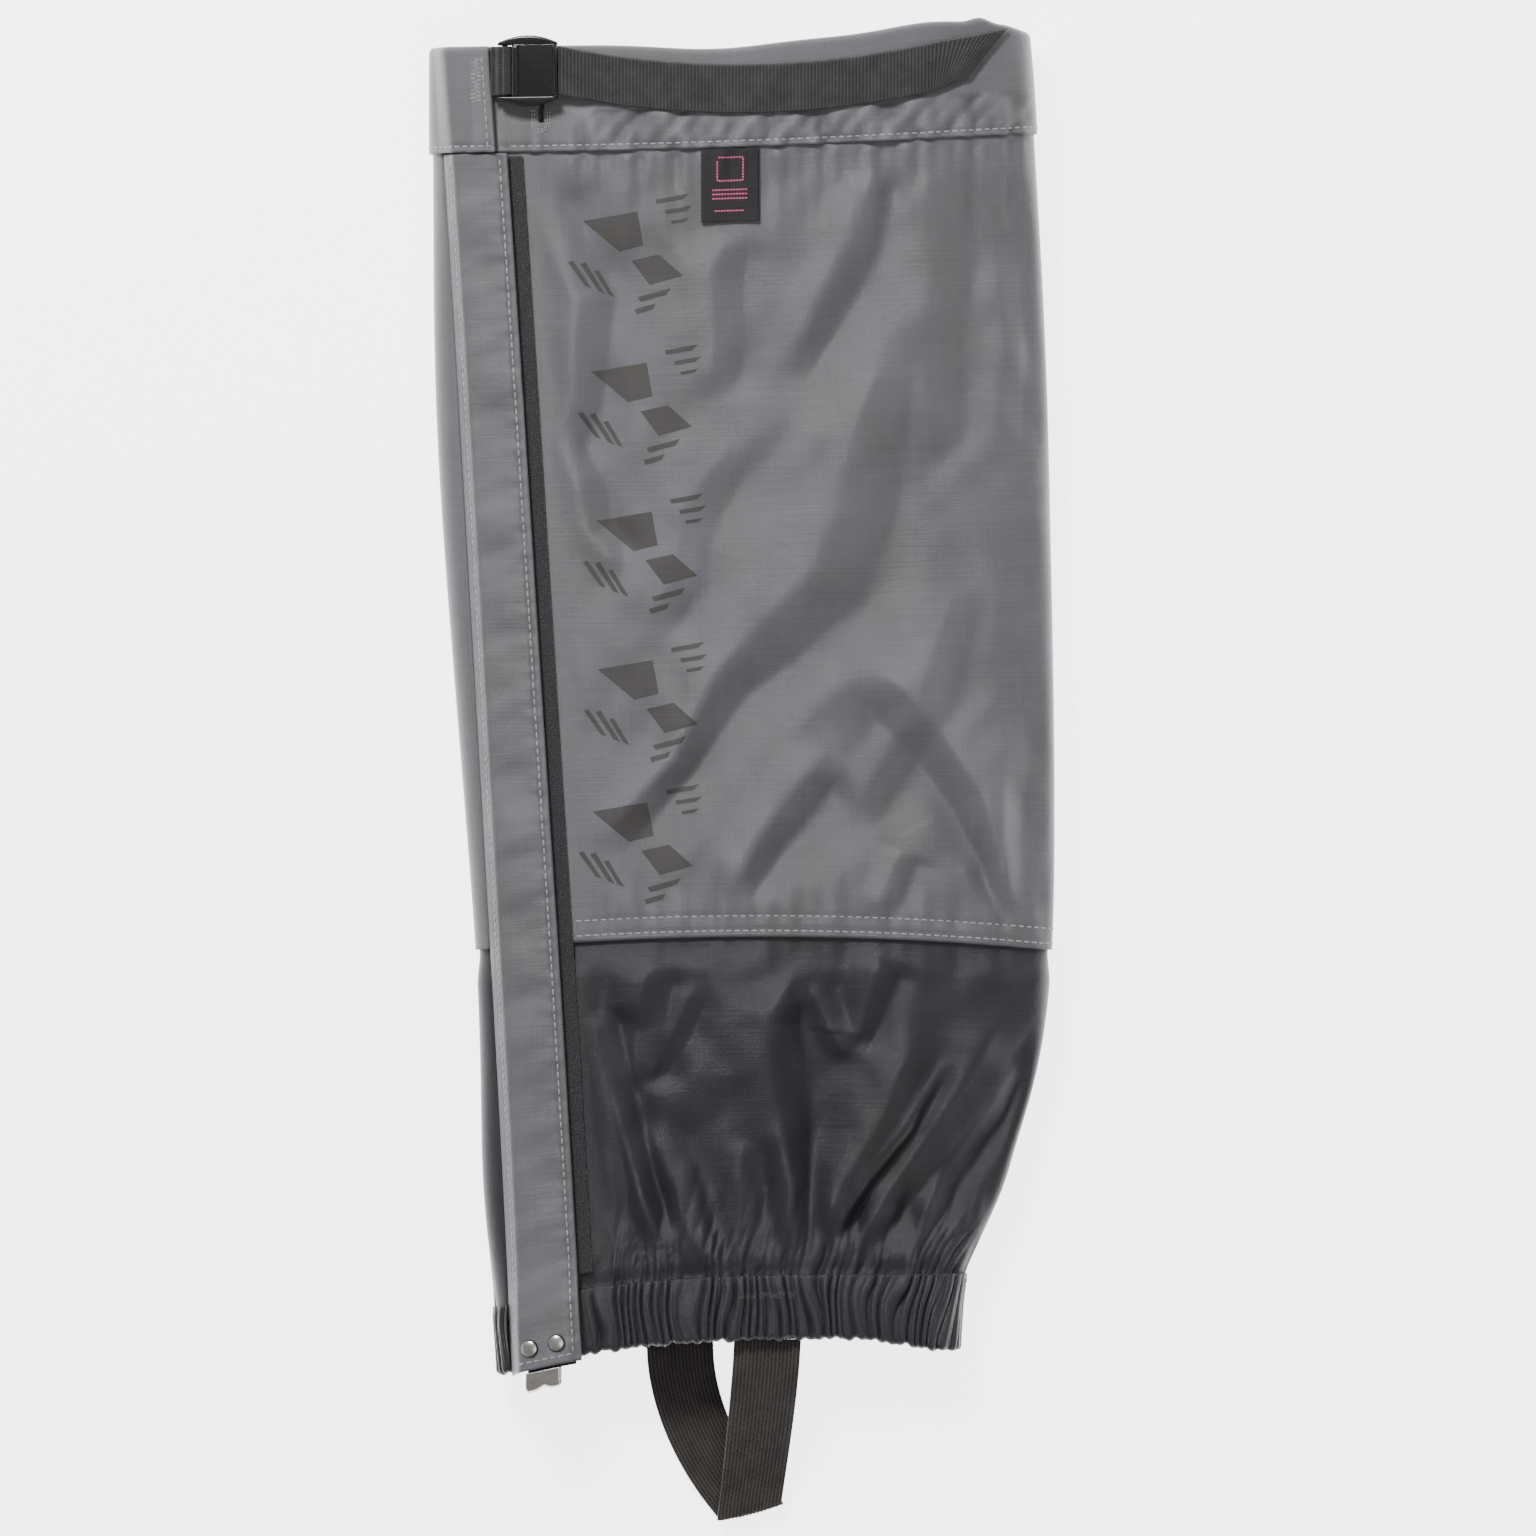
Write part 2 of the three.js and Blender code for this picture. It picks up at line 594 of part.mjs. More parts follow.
function turnStations(x, level, side, steps = 6) {
  return Array.from({ length: steps + 1 }, (_, k) => {
    const a = (Math.PI * k) / steps;
    return { x: x + side * BAR_WRAP * Math.sin(a), t: level - BAR_WRAP * Math.cos(a), v: BUCKLE_V };
  });
}

function buckleTab() {
  const start = hingeX(STRAP_V) + UNDERLAP;
  const inCuff = [0, 0.5, 1].map((u) => {
    return { x: mix(start, BUCKLE_X - 2, u), t: TAB_LEVEL, v: mix(STRAP_V - 1, BUCKLE_V, u) };
  });
  const back = { x: BUCKLE_X - TAB_RETURN, t: ANCHOR_LEVEL + BAR_WRAP, v: BUCKLE_V };
  return ribbon([...inCuff, ...turnStations(BUCKLE_X, ANCHOR_LEVEL, 1), back], STRAP_WIDTH, STRAP_THICK);
}

function bar(x, level) {
  const width = STRAP_WIDTH + RAIL * 2;
  return new THREE.CylinderGeometry(BAR_RADIUS, BAR_RADIUS, width, 12).translate(x, BUCKLE_V, level);
}

function rail(side) {
  const inner = STRAP_WIDTH / 2 + LAYER_GAP;
  const left = BUCKLE_X - BAR_RADIUS * 2;
  const shape = new THREE.Shape();
  shape.moveTo(left, inner);
  shape.lineTo(BUCKLE_END_X, inner);
  shape.lineTo(BUCKLE_END_X, inner + RAIL / 2);
  shape.quadraticCurveTo((left + BUCKLE_END_X) / 2, inner + RAIL / 2 + RAIL_BULGE * 1.6, left, inner + RAIL / 2);
  const low = CENTRE_BAR_LEVEL - BAR_RADIUS;
  const depth = PLATE_LEVEL + PLATE_THICK - low;
  const solid = new THREE.ExtrudeGeometry(shape, { depth, bevelEnabled: false, curveSegments: 10 });
  solid.translate(0, 0, low);
  if (side < 0) solid.rotateX(Math.PI).translate(0, 0, 2 * low + depth);
  return solid.translate(0, BUCKLE_V, 0);
}

function gripPlate() {
  const half = STRAP_WIDTH / 2 + LAYER_GAP + RAIL / 4;
  return block(PLATE_X, BUCKLE_END_X, BUCKLE_V - half, BUCKLE_V + half, PLATE_LEVEL, PLATE_LEVEL + PLATE_THICK, 4);
}

function ladderBuckle() {
  const anchor = bar(BUCKLE_X, ANCHOR_LEVEL);
  return laid(join(anchor, bar(CENTRE_BAR_X, CENTRE_BAR_LEVEL), rail(1), rail(-1), gripPlate()));
}

function strapThroughBuckle() {
  const gate = BUTTONHOLE_X - EDGE_GAP * 2;
  const feed = [{ x: gate, t: FEED_LEVEL + EDGE_GAP, v: BUCKLE_V }];
  const turn = turnStations(CENTRE_BAR_X, CENTRE_BAR_LEVEL, -1);
  const out = [0.5, 1].map((u) => ({ x: mix(CENTRE_BAR_X, BUCKLE_END_X, u), t: RETURN_LEVEL, v: BUCKLE_V }));
  return ribbon([...feed, ...turn, ...out], STRAP_WIDTH, STRAP_THICK);
}

function strapTail() {
  const steps = 22;
  const stations = Array.from({ length: steps + 1 }, (_, k) => {
    const s = k / steps;
    const x = TAIL_X + s * TAIL_LENGTH;
    const t = mix(RETURN_LEVEL, FEED_LEVEL, ease((x - TAIL_X) / STRAP_WIDTH));
    return { x, t, v: BUCKLE_V - TAIL_DIP * 4 * s * (1 - s) };
  });
  return ribbon(stations, STRAP_WIDTH, STRAP_THICK, TAIL_SLANT);
}

// The strap's run inside the cuff, right round the leg, then up through the buttonhole.
function cuffStrap() {
  const level = CLOTH / 2;
  const from = -Math.PI - 2 * ANGLE_STEP;
  const to = angleAt(BUTTONHOLE_X + BUTTONHOLE_WIDTH, STRAP_V);
  const round = anglesBetween(from, to, 0.1).map((angle) => ({ angle, t: level, v: STRAP_V }));
  const rise = [
    { x: BUTTONHOLE_X + BUTTONHOLE_WIDTH * 0.4, t: level + 0.1, v: STRAP_V },
    { x: BUTTONHOLE_X + EDGE_GAP, t: OUTER_LEG, v: STRAP_V },
    { x: BUTTONHOLE_X - EDGE_GAP, t: FEED_LEVEL - LAYER_GAP, v: STRAP_V },
  ];
  return ribbon([...round, ...rise], STRAP_WIDTH, STRAP_THICK);
}

function tabBartack() {
  const x = (side) => (v) => hingeX(v) + UNDERLAP + 6 + side * 1.8;
  const low = STRAP_V - STRAP_WIDTH / 2;
  const base = (at, v) => lift(at, v) + CUFF_TOP_FACE + EDGE_GAP;
  return strip(x(-1), x(1), low, low + STRAP_WIDTH * 0.9, base, THREAD, 2);
}

// ---- label and instep strap ----

function label() {
  const left = foldX(CUFF_EDGE) + LABEL_INSET;
  const high = CUFF_EDGE - EDGE_GAP;
  const base = CLOTH + LAYER_GAP;
  return strip(() => left, () => left + LABEL_WIDTH, high - LABEL_HEIGHT, high, () => base, LABEL_THICK, 3);
}

const INSTEP_T = -(2 * LAYER_GAP + CUFF_LEG + INSTEP_THICK / 2);
const behind = (x, v, t) => on(-angleAt(x, v), v, t);
const INSTEP_FRONT_X = foldX(HEM) + INSTEP_FRONT_INSET;
const INSTEP_BACK_X = foldX(HEM) + INSTEP_BACK_INSET;

function instepEnd(middle, side) {
  return bent(4, 2, (u, q, w) => {
    const v = mix(HEM - EDGE_GAP, HEM + INSTEP_SEWN, q);
    return side(middle + (u - 0.5) * INSTEP_WIDTH, v, INSTEP_T + (w - 0.5) * INSTEP_THICK);
  });
}

function instepBartack() {
  const half = BARTACK_WIDTH / 2;
  const base = CUFF_TOP_FACE + EDGE_GAP;
  const high = HEM_EDGE - BARTACK_INSET;
  const ends = [INSTEP_FRONT_X - half, INSTEP_FRONT_X + half];
  return strip(() => ends[0], () => ends[1], high - BARTACK_HEIGHT, high, () => base, THREAD, 4);
}

// Stations down the front leg, round the crease under the boot, and up the back leg.
function instepStations() {
  const start = HEM - EDGE_GAP * 2;
  const crease = new THREE.Vector3(
    foldX(HEM) + INSTEP_CREASE_INSET,
    start - INSTEP_DROP,
    behind(INSTEP_BACK_X, HEM, INSTEP_T).z - CREASE_RADIUS,
  );
  const legs = 7;
  const leg = (root, power, level) => Array.from({ length: legs + 1 }, (_, k) => {
    const s = k / legs;
    const x = mix(root.x, crease.x, s ** power);
    const point = new THREE.Vector3(x, mix(root.y, crease.y, s), mix(root.z, crease.z + level, ease(s)));
    return { point, angle: CREASE_ANGLE * ease(s) };
  });
  const front = over(INSTEP_FRONT_X, start, INSTEP_T);
  const back = behind(INSTEP_BACK_X, start, INSTEP_T);
  const turn = [1, 2, 3].map((k) => {
    const a = (Math.PI * k) / 4;
    const reach = CREASE_RADIUS * Math.sin(a);
    const out = new THREE.Vector3(Math.sin(CREASE_ANGLE) * reach, -Math.cos(CREASE_ANGLE) * reach, 0);
    return { point: crease.clone().add(out).setZ(crease.z + CREASE_RADIUS * Math.cos(a)), angle: CREASE_ANGLE };
  });
  return [...leg(front, 1.3, CREASE_RADIUS), ...turn, ...leg(back, 2, -CREASE_RADIUS).reverse()];
}

function instepStrap() {
  const stations = instepStations();
  const count = stations.length - 1;
  return bent(count, 2, (u, across, w) => {
    const i = Math.round(u * count);
    const { point, angle } = stations[i];
    const reach = (across - 0.5) * INSTEP_WIDTH;
    const depth = INSTEP_T + (w - 0.5) * INSTEP_THICK;
    if (i === 0) return over(INSTEP_FRONT_X + reach, HEM - EDGE_GAP * 2, depth);
    if (i === count) return behind(INSTEP_BACK_X + reach, HEM - EDGE_GAP * 2, depth);
    const before = stations[Math.max(0, i - 1)].point;
    const after = stations[Math.min(count, i + 1)].point;
    const along = after.clone().sub(before).normalize();
    const wide = new THREE.Vector3(Math.cos(angle), Math.sin(angle), 0);
    const normal = wide.clone().cross(along).normalize();
    return point.clone()
      .addScaledVector(wide, reach)
      .addScaledVector(normal, (w - 0.5) * INSTEP_THICK);
  });
}

// ---- the assembly ----

const gaiter = new THREE.Group();

function add(name, geometry, colour) {
  const mesh = new THREE.Mesh(geometry, new THREE.MeshStandardMaterial(COLOURS[colour]));
  mesh.name = name;
  gaiter.add(mesh);
}

const besideTape = (v) => angleAt(freeX(v) + LOOP_SHOWS + EDGE_GAP * 2, v);
const besideCuffEnd = (v) => angleAt(freeX(v) + EDGE_GAP, v);
const pastFold = () => -ANGLE_STEP;
const frontFold = () => ANGLE_STEP - Math.PI;

add('upper_panel', upperPanel(), 'greyCloth');
add('lower_panel', lowerPanel(), 'charcoalCloth');
add('cuff', cuff(), 'greyCloth');
add('ankle_hem', hem(), 'charcoalCloth');
add('ankle_elastic', ankleElastic(), 'elastic');
add('cuff_strap', cuffStrap(), 'webbing');
add('buckle_tab', buckleTab(), 'webbing');
add('tab_bartack', tabBartack(), 'thread');
add('buttonhole_stitching', buttonholeStitch(), 'thread');
const cuffRow = (from, to) => threadRow(CUFF_EDGE + 2, CUFF_TOP_FACE + EDGE_GAP, from, to);
add('cuff_seam_thread', cuffRow(besideCuffEnd, pastFold), 'thread');
add('cuff_seam_thread_end', cuffRow(frontFold, cuffEnd), 'thread');
const seamRow = (up) => threadRow(PANEL_EDGE + up, CLOTH + EDGE_GAP, besideTape, pastFold);
add('panel_seam_thread_lower', seamRow(2), 'thread');
add('panel_seam_thread_upper', seamRow(2 + ROW_SPACING), 'thread');
add('loop_tape', loopTape(), 'tape');
add('front_flap', flap(), 'greyCloth');
add('hook_tape', hookTape(), 'tape');
add('flap_thread', flapThread(), 'thread');
rivetPlaces().forEach((place, i) => add(`rivet_${i + 1}`, rivet(place), 'nickel'));
add('hook_patch', hookPatch(), 'webbing');
add('lace_hook', laceHook(), 'nickel');
add('ladder_buckle', ladderBuckle(), 'plastic');
add('strap_in_buckle', strapThroughBuckle(), 'webbing');
add('strap_tail', strapTail(), 'webbing');
add('woven_label', label(), 'label');
add('instep_strap_front_end', instepEnd(INSTEP_FRONT_X, over), 'webbing');
add('instep_strap_back_end', instepEnd(INSTEP_BACK_X, behind), 'webbing');
add('instep_bartack', instepBartack(), 'thread');
add('instep_strap', instepStrap(), 'webbing');

// The origin is on the ground under the middle of the gaiter.
const box = new THREE.Box3().setFromObject(gaiter);
const middle = box.getCenter(new THREE.Vector3());
gaiter.position.set(-middle.x, -middle.y, -box.min.z);

export default gaiter;
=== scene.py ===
import math

import bpy
import numpy as np
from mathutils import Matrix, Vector


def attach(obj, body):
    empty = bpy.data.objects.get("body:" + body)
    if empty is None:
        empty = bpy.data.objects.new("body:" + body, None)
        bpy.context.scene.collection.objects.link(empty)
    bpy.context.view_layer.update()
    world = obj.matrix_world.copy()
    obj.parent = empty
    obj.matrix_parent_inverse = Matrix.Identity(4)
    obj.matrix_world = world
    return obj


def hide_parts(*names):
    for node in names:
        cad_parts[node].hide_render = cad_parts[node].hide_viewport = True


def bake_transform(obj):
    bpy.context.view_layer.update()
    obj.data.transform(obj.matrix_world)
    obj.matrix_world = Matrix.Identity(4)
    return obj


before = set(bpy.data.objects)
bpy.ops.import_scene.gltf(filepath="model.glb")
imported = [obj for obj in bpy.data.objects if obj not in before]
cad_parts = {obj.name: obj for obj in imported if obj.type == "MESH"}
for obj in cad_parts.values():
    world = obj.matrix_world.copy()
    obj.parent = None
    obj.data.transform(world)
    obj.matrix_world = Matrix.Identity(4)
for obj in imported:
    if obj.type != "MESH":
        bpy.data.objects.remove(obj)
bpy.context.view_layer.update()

# A calf-length gaiter, laid on its back layer. Lengths are millimetres in the leg's own frame:
# "v" runs up the leg, "x" across it, and "t" is a height above the inner face of the cloth.
LEG_LENGTH = 424.0
TOP_SHIFT = 25.44
CUFF_WIDTH = 196.0
CALF_WIDTH = 199.0
SEAM_WIDTH = 188.0
ANKLE_WIDTH = 172.0
HEM_WIDTH = 147.0
FRONT_LINE_X = -98.5
FRONT_LINE_SLANT = 22.5
FOLD_OUT = {"top": 1.19, "cuff": 3.5, "calf": 7.48, "seam": 4.65, "ankle": 6.19, "hem": 3.81, "end": 3.09}
SHOULDER_TOP = 20.0
SHOULDER_HEM = 15.5
FOLD_SHARE = 0.36
CROWN_POWER = 0.6
FLATTEN = 1.5
CUFF_RISE = 7.0
HEM_DROOP = 12.0
SEAM_BOW = 4.5
SEAM_BOW_REACH = 45.0
MOUTH_TAKE_IN = 3.0
HEM_FLARE = 5.0
STATION_MARGIN = 5.0
CLOTH = 1.0
LAYER_GAP = 0.4
EDGE_GAP = 0.3
TAPE = 0.8
TUCK = 5.0
CUFF_HEIGHT = 35.0
CUFF_LEG = 0.9
STRAP_WIDTH = 16.0
STRAP_THICK = 0.9
STRAP_INSET = 2.5
TAIL_LENGTH = 139.0
TAIL_DIP = 7.8
TAIL_SLANT = 12.5
BUTTONHOLE_LENGTH = 23.4
BUTTONHOLE_WIDTH = 3.6
BUTTONHOLE_INSET = 33.0
UPPER_LENGTH = 297.0
SEAM_OVERLAP = 12.0
ROW_INSET = 2.0
ROW_SPACING = 5.0
FLAP_TOP_WIDTH = 21.0
FLAP_BOTTOM_WIDTH = 23.0
FLAP_OVERHANG = 2.0
UNDERLAP = 7.0
HOOK_TAPE_WIDTH = 11.0
LOOP_SHOWS = 4.5
EDGE_STITCH = 2.6
BUCKLE_INSET = 22.0
BUCKLE_SHIFT = 2.0
BAR_RADIUS = 1.0
RAIL = 1.6
RAIL_BULGE = 4.8
PLATE_THICK = 1.5
PLATE_LENGTH = 14.4
TAB_RETURN = 4.0
LABEL_WIDTH = 19.0
LABEL_HEIGHT = 24.0
LABEL_INSET = 87.5
LABEL_THICK = 0.6
HEM_HEIGHT = 20.5
ELASTIC_WIDTH = 11.0
RIVET_CAP = 2.9
RIVET_SHANK = 1.1
RIVET_DOME = 1.3
RIVET_TIP = 0.05
RIVET_SPACING = 8.0
RIVET_ABOVE_EDGE = 7.0
HOOK_WIDTH = 10.3
HOOK_SHEET = 0.8
HOOK_REACH = 6.5
HOOK_THROAT = 2.4
HOOK_ROOM = 2.8
HOOK_ROOM_REACH = 11.0
HOOK_CUSP = 1.6
PATCH_WIDTH = 15.0
PATCH_HEIGHT = 12.0
PATCH_SHIFT = 2.5
INSTEP_WIDTH = 22.0
INSTEP_THICK = 1.4
INSTEP_DROP = 57.0
INSTEP_FRONT_INSET = 86.5
INSTEP_BACK_INSET = 57.5
INSTEP_CREASE_INSET = 80.5
INSTEP_SEWN = 14.0
CREASE_RADIUS = 1.2
CREASE_ANGLE = 0.25
CORNER_DRAW = (3.2, 7.0)
BARTACK_WIDTH = 18.5
BARTACK_HEIGHT = 3.0
BARTACK_INSET = 5.1
TACK_INSET = 6.0
TACK_HALF = 1.8
TAPE_INSET = 5.0
TAB_RUN = 28.0
FEED_RUN = 32.0
RING_RUN = 400.0
INSTEP_RUN = 118.0

# The leg's frame in the part's frame.
ORIGIN = np.array([1.502, 2.141, 2.3])
MM = 0.001

# Heights along the leg, and heights above the cloth.
TOP = LEG_LENGTH / 2 + TOP_SHIFT
HEM = TOP - LEG_LENGTH
CUFF_EDGE = TOP - CUFF_HEIGHT
PANEL_EDGE = TOP - UPPER_LENGTH
HEM_EDGE = HEM + HEM_HEIGHT
FLAP_TOP = CUFF_EDGE - EDGE_GAP
FLAP_END = HEM - FLAP_OVERHANG
OUTER_LEG = CLOTH + LAYER_GAP
CUFF_TOP_FACE = OUTER_LEG + CUFF_LEG
CUFF_ROW = CUFF_EDGE + ROW_INSET
PANEL_ROWS = {"lower": PANEL_EDGE + ROW_INSET, "upper": PANEL_EDGE + ROW_INSET + ROW_SPACING}
LIFT = max(OUTER_LEG + 2 * TAPE + 2 * LAYER_GAP, CUFF_TOP_FACE + 2 * LAYER_GAP + CUFF_LEG)

# How finely the surfaces are cut.
ROUND_CUTS = 400
UPPER_CUTS = 250
LOWER_CUTS = 150
CASING_CUTS = 1000
RING_CUTS = 600

# How the cloth folds and gathers, and how it is stitched.
CLOTH_THICK = 0.55
BAND_THICK = CLOTH_THICK + 0.15
BAND_OUTER = OUTER_LEG + CUFF_LEG / 2
BAND_INNER = -LAYER_GAP - CUFF_LEG / 2
CUFF_SURFACE = BAND_OUTER + BAND_THICK / 2
FOLD_DEPTH = 1.45
CREASE_SHARP = 12.0
FOLD_FADE = 0.3
FOLD_END = 0.2
FOLD_START = 0.05
WAVE_SHARES = (0.61, 1.0, 1.37, 2.3)
WAVE_SCALE = 1.3
CRUMPLE_PITCHES = (55, 38, 27, 19, 13)
CRUMPLE_SCALE = 120
PUCKER_HEIGHT = 0.8
CUFF_PUCKER_REACH = 12.0
SEAM_PUCKER_RISE = 7.0
SEAM_PUCKER_REACH = 10.0
GATHER_REACH = 48.0
PLEAT_REACH = 30.0
ROW_DENT = 0.7
FLAP_ROW_DENT = 0.8
GOLDEN = 1.618
CASING_DROOP = 4.5
# The share of the colour left on the casing's fold and inner layer: painted shade.
CASING_PAINTED_SHADE = 0.25
STITCH_LENGTH = 2.1
STITCH_PITCH = 2.75
STITCH_WIDTH = 0.6
STITCH_HEIGHT = 0.36
RIB_PITCH = 1.12
RIB_HEIGHT = 0.13
PLEAT_PITCH = 3.4
PLEAT_HEIGHT = 1.2
INSTEP_RIBS = 18
INSTEP_PITCH = INSTEP_WIDTH / INSTEP_RIBS

# Colours, as shares of the light that they send back.
GREY = (0.0880, 0.0860, 0.0880)
GREY_LIGHT = (0.1020, 0.1015, 0.1170)
CHARCOAL = (0.0155, 0.0146, 0.0165)
CHARCOAL_LIGHT = (0.0225, 0.0213, 0.0290)
WEBBING = (0.025, 0.0236, 0.0232)
WEBBING_LIGHT = (0.043, 0.041, 0.0402)
INSTEP = (0.027, 0.0238, 0.0222)
INSTEP_LIGHT = (0.045, 0.0400, 0.0372)
BLACK = (0.0075, 0.0072, 0.0080)
NICKEL = (0.50, 0.48, 0.455)
THREAD_GREY = (0.33, 0.33, 0.35)
THREAD_GREY_DARK = (0.27, 0.27, 0.28)
THREAD_DARK = (0.035, 0.035, 0.038)
PRINT = (0.050, 0.0475, 0.046)
TAPE_DARK = (0.016, 0.016, 0.0175)
LABEL_BLACK = (0.012, 0.012, 0.013)
LABEL_PINK = (0.56, 0.055, 0.19)
ELASTIC_DARK = (0.02, 0.019, 0.02)
ELASTIC_LIGHT = (0.034, 0.032, 0.034)
PAPER = (0.83, 0.83, 0.83)
PAPER_LIGHT = (0.86, 0.86, 0.86)

# The studio, in metres and watts: each lamp has a name, a place, a width and a power.
FLOOR_WIDTH = 6.0
FLOOR_DROP = 0.0004
FLOOR_GLOW = 3.7
WORLD_LIGHT = 0.42
LIGHTS = [("key", (-0.5, 1.15, 1.25), 0.36, 38.0), ("fill", (0.5, -0.3, 1.8), 1.2, 8.0)]
CAMERA_HEIGHT = 6.0
CAMERA_SPOT = (0.0089, 0.0025)
CAMERA_WIDTH = 0.507
SENSOR_WIDTH = 36.0


# ---- the leg tube's surface ----


def mix(a, b, share):
    return a + (b - a) * share


def ease(share):
    s = np.clip(share, 0.0, 1.0)
    return s * s * (3 - 2 * s)


def catmull(points, k, w):
    """The smooth curve through the rows of points, a share w of the way from row k to the next."""
    last = len(points) - 1
    p0, p1, p2, p3 = (points[np.clip(k + shift, 0, last)] for shift in (-1, 0, 1, 2))
    v0, v1 = (p2 - p0) / 2, (p3 - p1) / 2
    cubic = (2 * p1 - 2 * p2 + v0 + v1) * w**3 + (3 * p2 - 3 * p1 - 2 * v0 - v1) * w**2
    return cubic + v0 * w + p1


def spline(points, cuts=24):
    """A smooth function through points (height, value) that run down the leg."""
    knots = np.array(points, float)
    steps = np.linspace(0, len(points) - 1, len(points) * cuts + 1)
    k = steps.astype(int)
    curve = catmull(knots, k, (steps - k)[:, None])[::-1]
    return lambda v: np.interp(v, curve[:, 0], curve[:, 1])


def along(points, s):
    """Stations (rows of numbers) read smoothly at the shares s."""
    table = np.array(points, float)
    last = len(table) - 1
    place = np.clip(s * last, 0, last)
    k = np.minimum(place.astype(int), last - 1)
    return catmull(table, k, (place - k)[..., None])


ANKLE = mix(PANEL_EDGE, HEM, 0.55)
MID_CALF = mix(TOP, PANEL_EDGE, 0.46)
STATIONS = [TOP + STATION_MARGIN, CUFF_EDGE, MID_CALF, PANEL_EDGE, ANKLE, HEM_EDGE, HEM - STATION_MARGIN]
WIDTHS = [CUFF_WIDTH - MOUTH_TAKE_IN, CUFF_WIDTH, CALF_WIDTH, SEAM_WIDTH, ANKLE_WIDTH, HEM_WIDTH + HEM_FLARE,
          HEM_WIDTH]
width_at = spline(list(zip(STATIONS, WIDTHS)))
fold_out_at = spline(list(zip(STATIONS, FOLD_OUT.values())))


def line_share(v):
    """How far down the flap's line v is: 0 at the cuff's edge, 1 at the hem."""
    return (CUFF_EDGE - v) / (CUFF_EDGE - HEM)


def hinge_x(v):
    return FRONT_LINE_X + FRONT_LINE_SLANT * line_share(v)


def fold_x(v):
    return hinge_x(v) - fold_out_at(v)


def centre_at(v):
    return fold_x(v) + width_at(v) / 2


def swell_of(sine):
    return np.abs(sine) ** CROWN_POWER


def depth_at(height):
    v = np.minimum(height, CUFF_EDGE)
    sine = np.sin(np.arccos(1 - fold_out_at(v) / (width_at(v) / 2)))
    return mix(SHOULDER_TOP, SHOULDER_HEM, line_share(v)) / mix(FOLD_SHARE, 1, swell_of(sine))


def lean(v, x):
    """How far the cloth is shifted up the leg: the cuff rises, the hem droops, the panel seam bows."""
    across = (x - centre_at(v)) / width_at(v) + 0.5
    rise = CUFF_RISE * ease((v - PANEL_EDGE) / (TOP - PANEL_EDGE)) * across**2
    droop = HEM_DROOP * ease((PANEL_EDGE - v) / (PANEL_EDGE - HEM)) * (1 - across) ** 4
    bow = SEAM_BOW * np.exp(-(((v - PANEL_EDGE) / SEAM_BOW_REACH) ** 2)) * (1 - (2 * across - 1) ** 2)
    return rise - droop + bow


def section(theta, v):
    """Where angle theta round the tube's flattened ring lies at height v: across, and above the ground."""
    depth = depth_at(v)
    fold = depth * FOLD_SHARE
    sine = np.sin(theta)
    swell = swell_of(sine)
    above = fold + (depth - fold) * swell
    below = np.maximum(0, fold * (1 - FLATTEN * swell))
    return centre_at(v) + width_at(v) / 2 * np.cos(theta), np.where(sine > 0, above, below)


def on(theta, v, t):
    """The point at angle theta round the tube, at height v, a distance t outside its inner face."""
    theta, v, t = np.broadcast_arrays(np.asarray(theta, float), v, t)
    step = 0.01
    x, z = section(theta, v)
    x1, z1 = section(theta + step, v)
    x0, z0 = section(theta - step, v)
    size = np.hypot(x1 - x0, z1 - z0)
    ax, az = (x1 - x0) / size, (z1 - z0) / size
    return np.stack([x + az * t, v + lean(v, x), z - ax * t], -1)


def angle_at(x, v):
    return np.arccos(np.clip((x - centre_at(v)) / (width_at(v) / 2), -1, 1))


def over(x, v, t):
    """The point at x on the tube's upper face, and behind() is the one below it."""
    return on(angle_at(x, v), v, t)


def behind(x, v, t):
    return on(-angle_at(x, v), v, t)


def flap_width(v):
    return mix(FLAP_TOP_WIDTH, FLAP_BOTTOM_WIDTH, line_share(v))


def free_x(v):
    return hinge_x(v) + flap_width(v)


def under_x(v):
    return hinge_x(v) + UNDERLAP


def lift(x, v):
    """How far the flap's inner face stands off the cloth: more where the hook's tail is under it."""
    full = LIFT + HOOK_ROOM * ease((HEM_EDGE + HOOK_ROOM_REACH - v) / HEM_HEIGHT)
    return full * ease((x - hinge_x(v) + 1) / (UNDERLAP - 1))


def wrapped(theta, v, t):
    """As on(), and an angle that goes on past the front fold belongs to the overlapping end."""
    x, _ = section(theta, v)
    return on(theta, v, t + np.where(np.asarray(theta) < -math.pi, lift(x, v), 0))


def start_angle(v):
    return angle_at(under_x(v), v)


def hinge_angle(v):
    return angle_at(hinge_x(v) - EDGE_GAP, v) - 2 * math.pi


def cuff_end(v):
    return angle_at(free_x(v) - LOOP_SHOWS + 1, v) - 2 * math.pi


STRAP_V = TOP - STRAP_INSET - STRAP_WIDTH / 2
BUCKLE_V = STRAP_V + BUCKLE_SHIFT
BUTTONHOLE_X = hinge_x(STRAP_V) + BUTTONHOLE_INSET
BUTTONHOLE_LOW = STRAP_V + STRAP_WIDTH / 2 + EDGE_GAP - BUTTONHOLE_LENGTH
BUCKLE_X = hinge_x(STRAP_V) + BUCKLE_INSET
BAR_WRAP = BAR_RADIUS + EDGE_GAP + STRAP_THICK / 2
TAB_LEVEL = LIFT + CLOTH / 2
ANCHOR_LEVEL = TAB_LEVEL + BAR_WRAP
FEED_LEVEL = CUFF_TOP_FACE + LAYER_GAP + STRAP_THICK / 2
CENTRE_BAR_LEVEL = FEED_LEVEL + BAR_WRAP
RETURN_LEVEL = CENTRE_BAR_LEVEL + BAR_WRAP
CENTRE_BAR_X = BUCKLE_X + 2 * BAR_WRAP + STRAP_THICK + LAYER_GAP
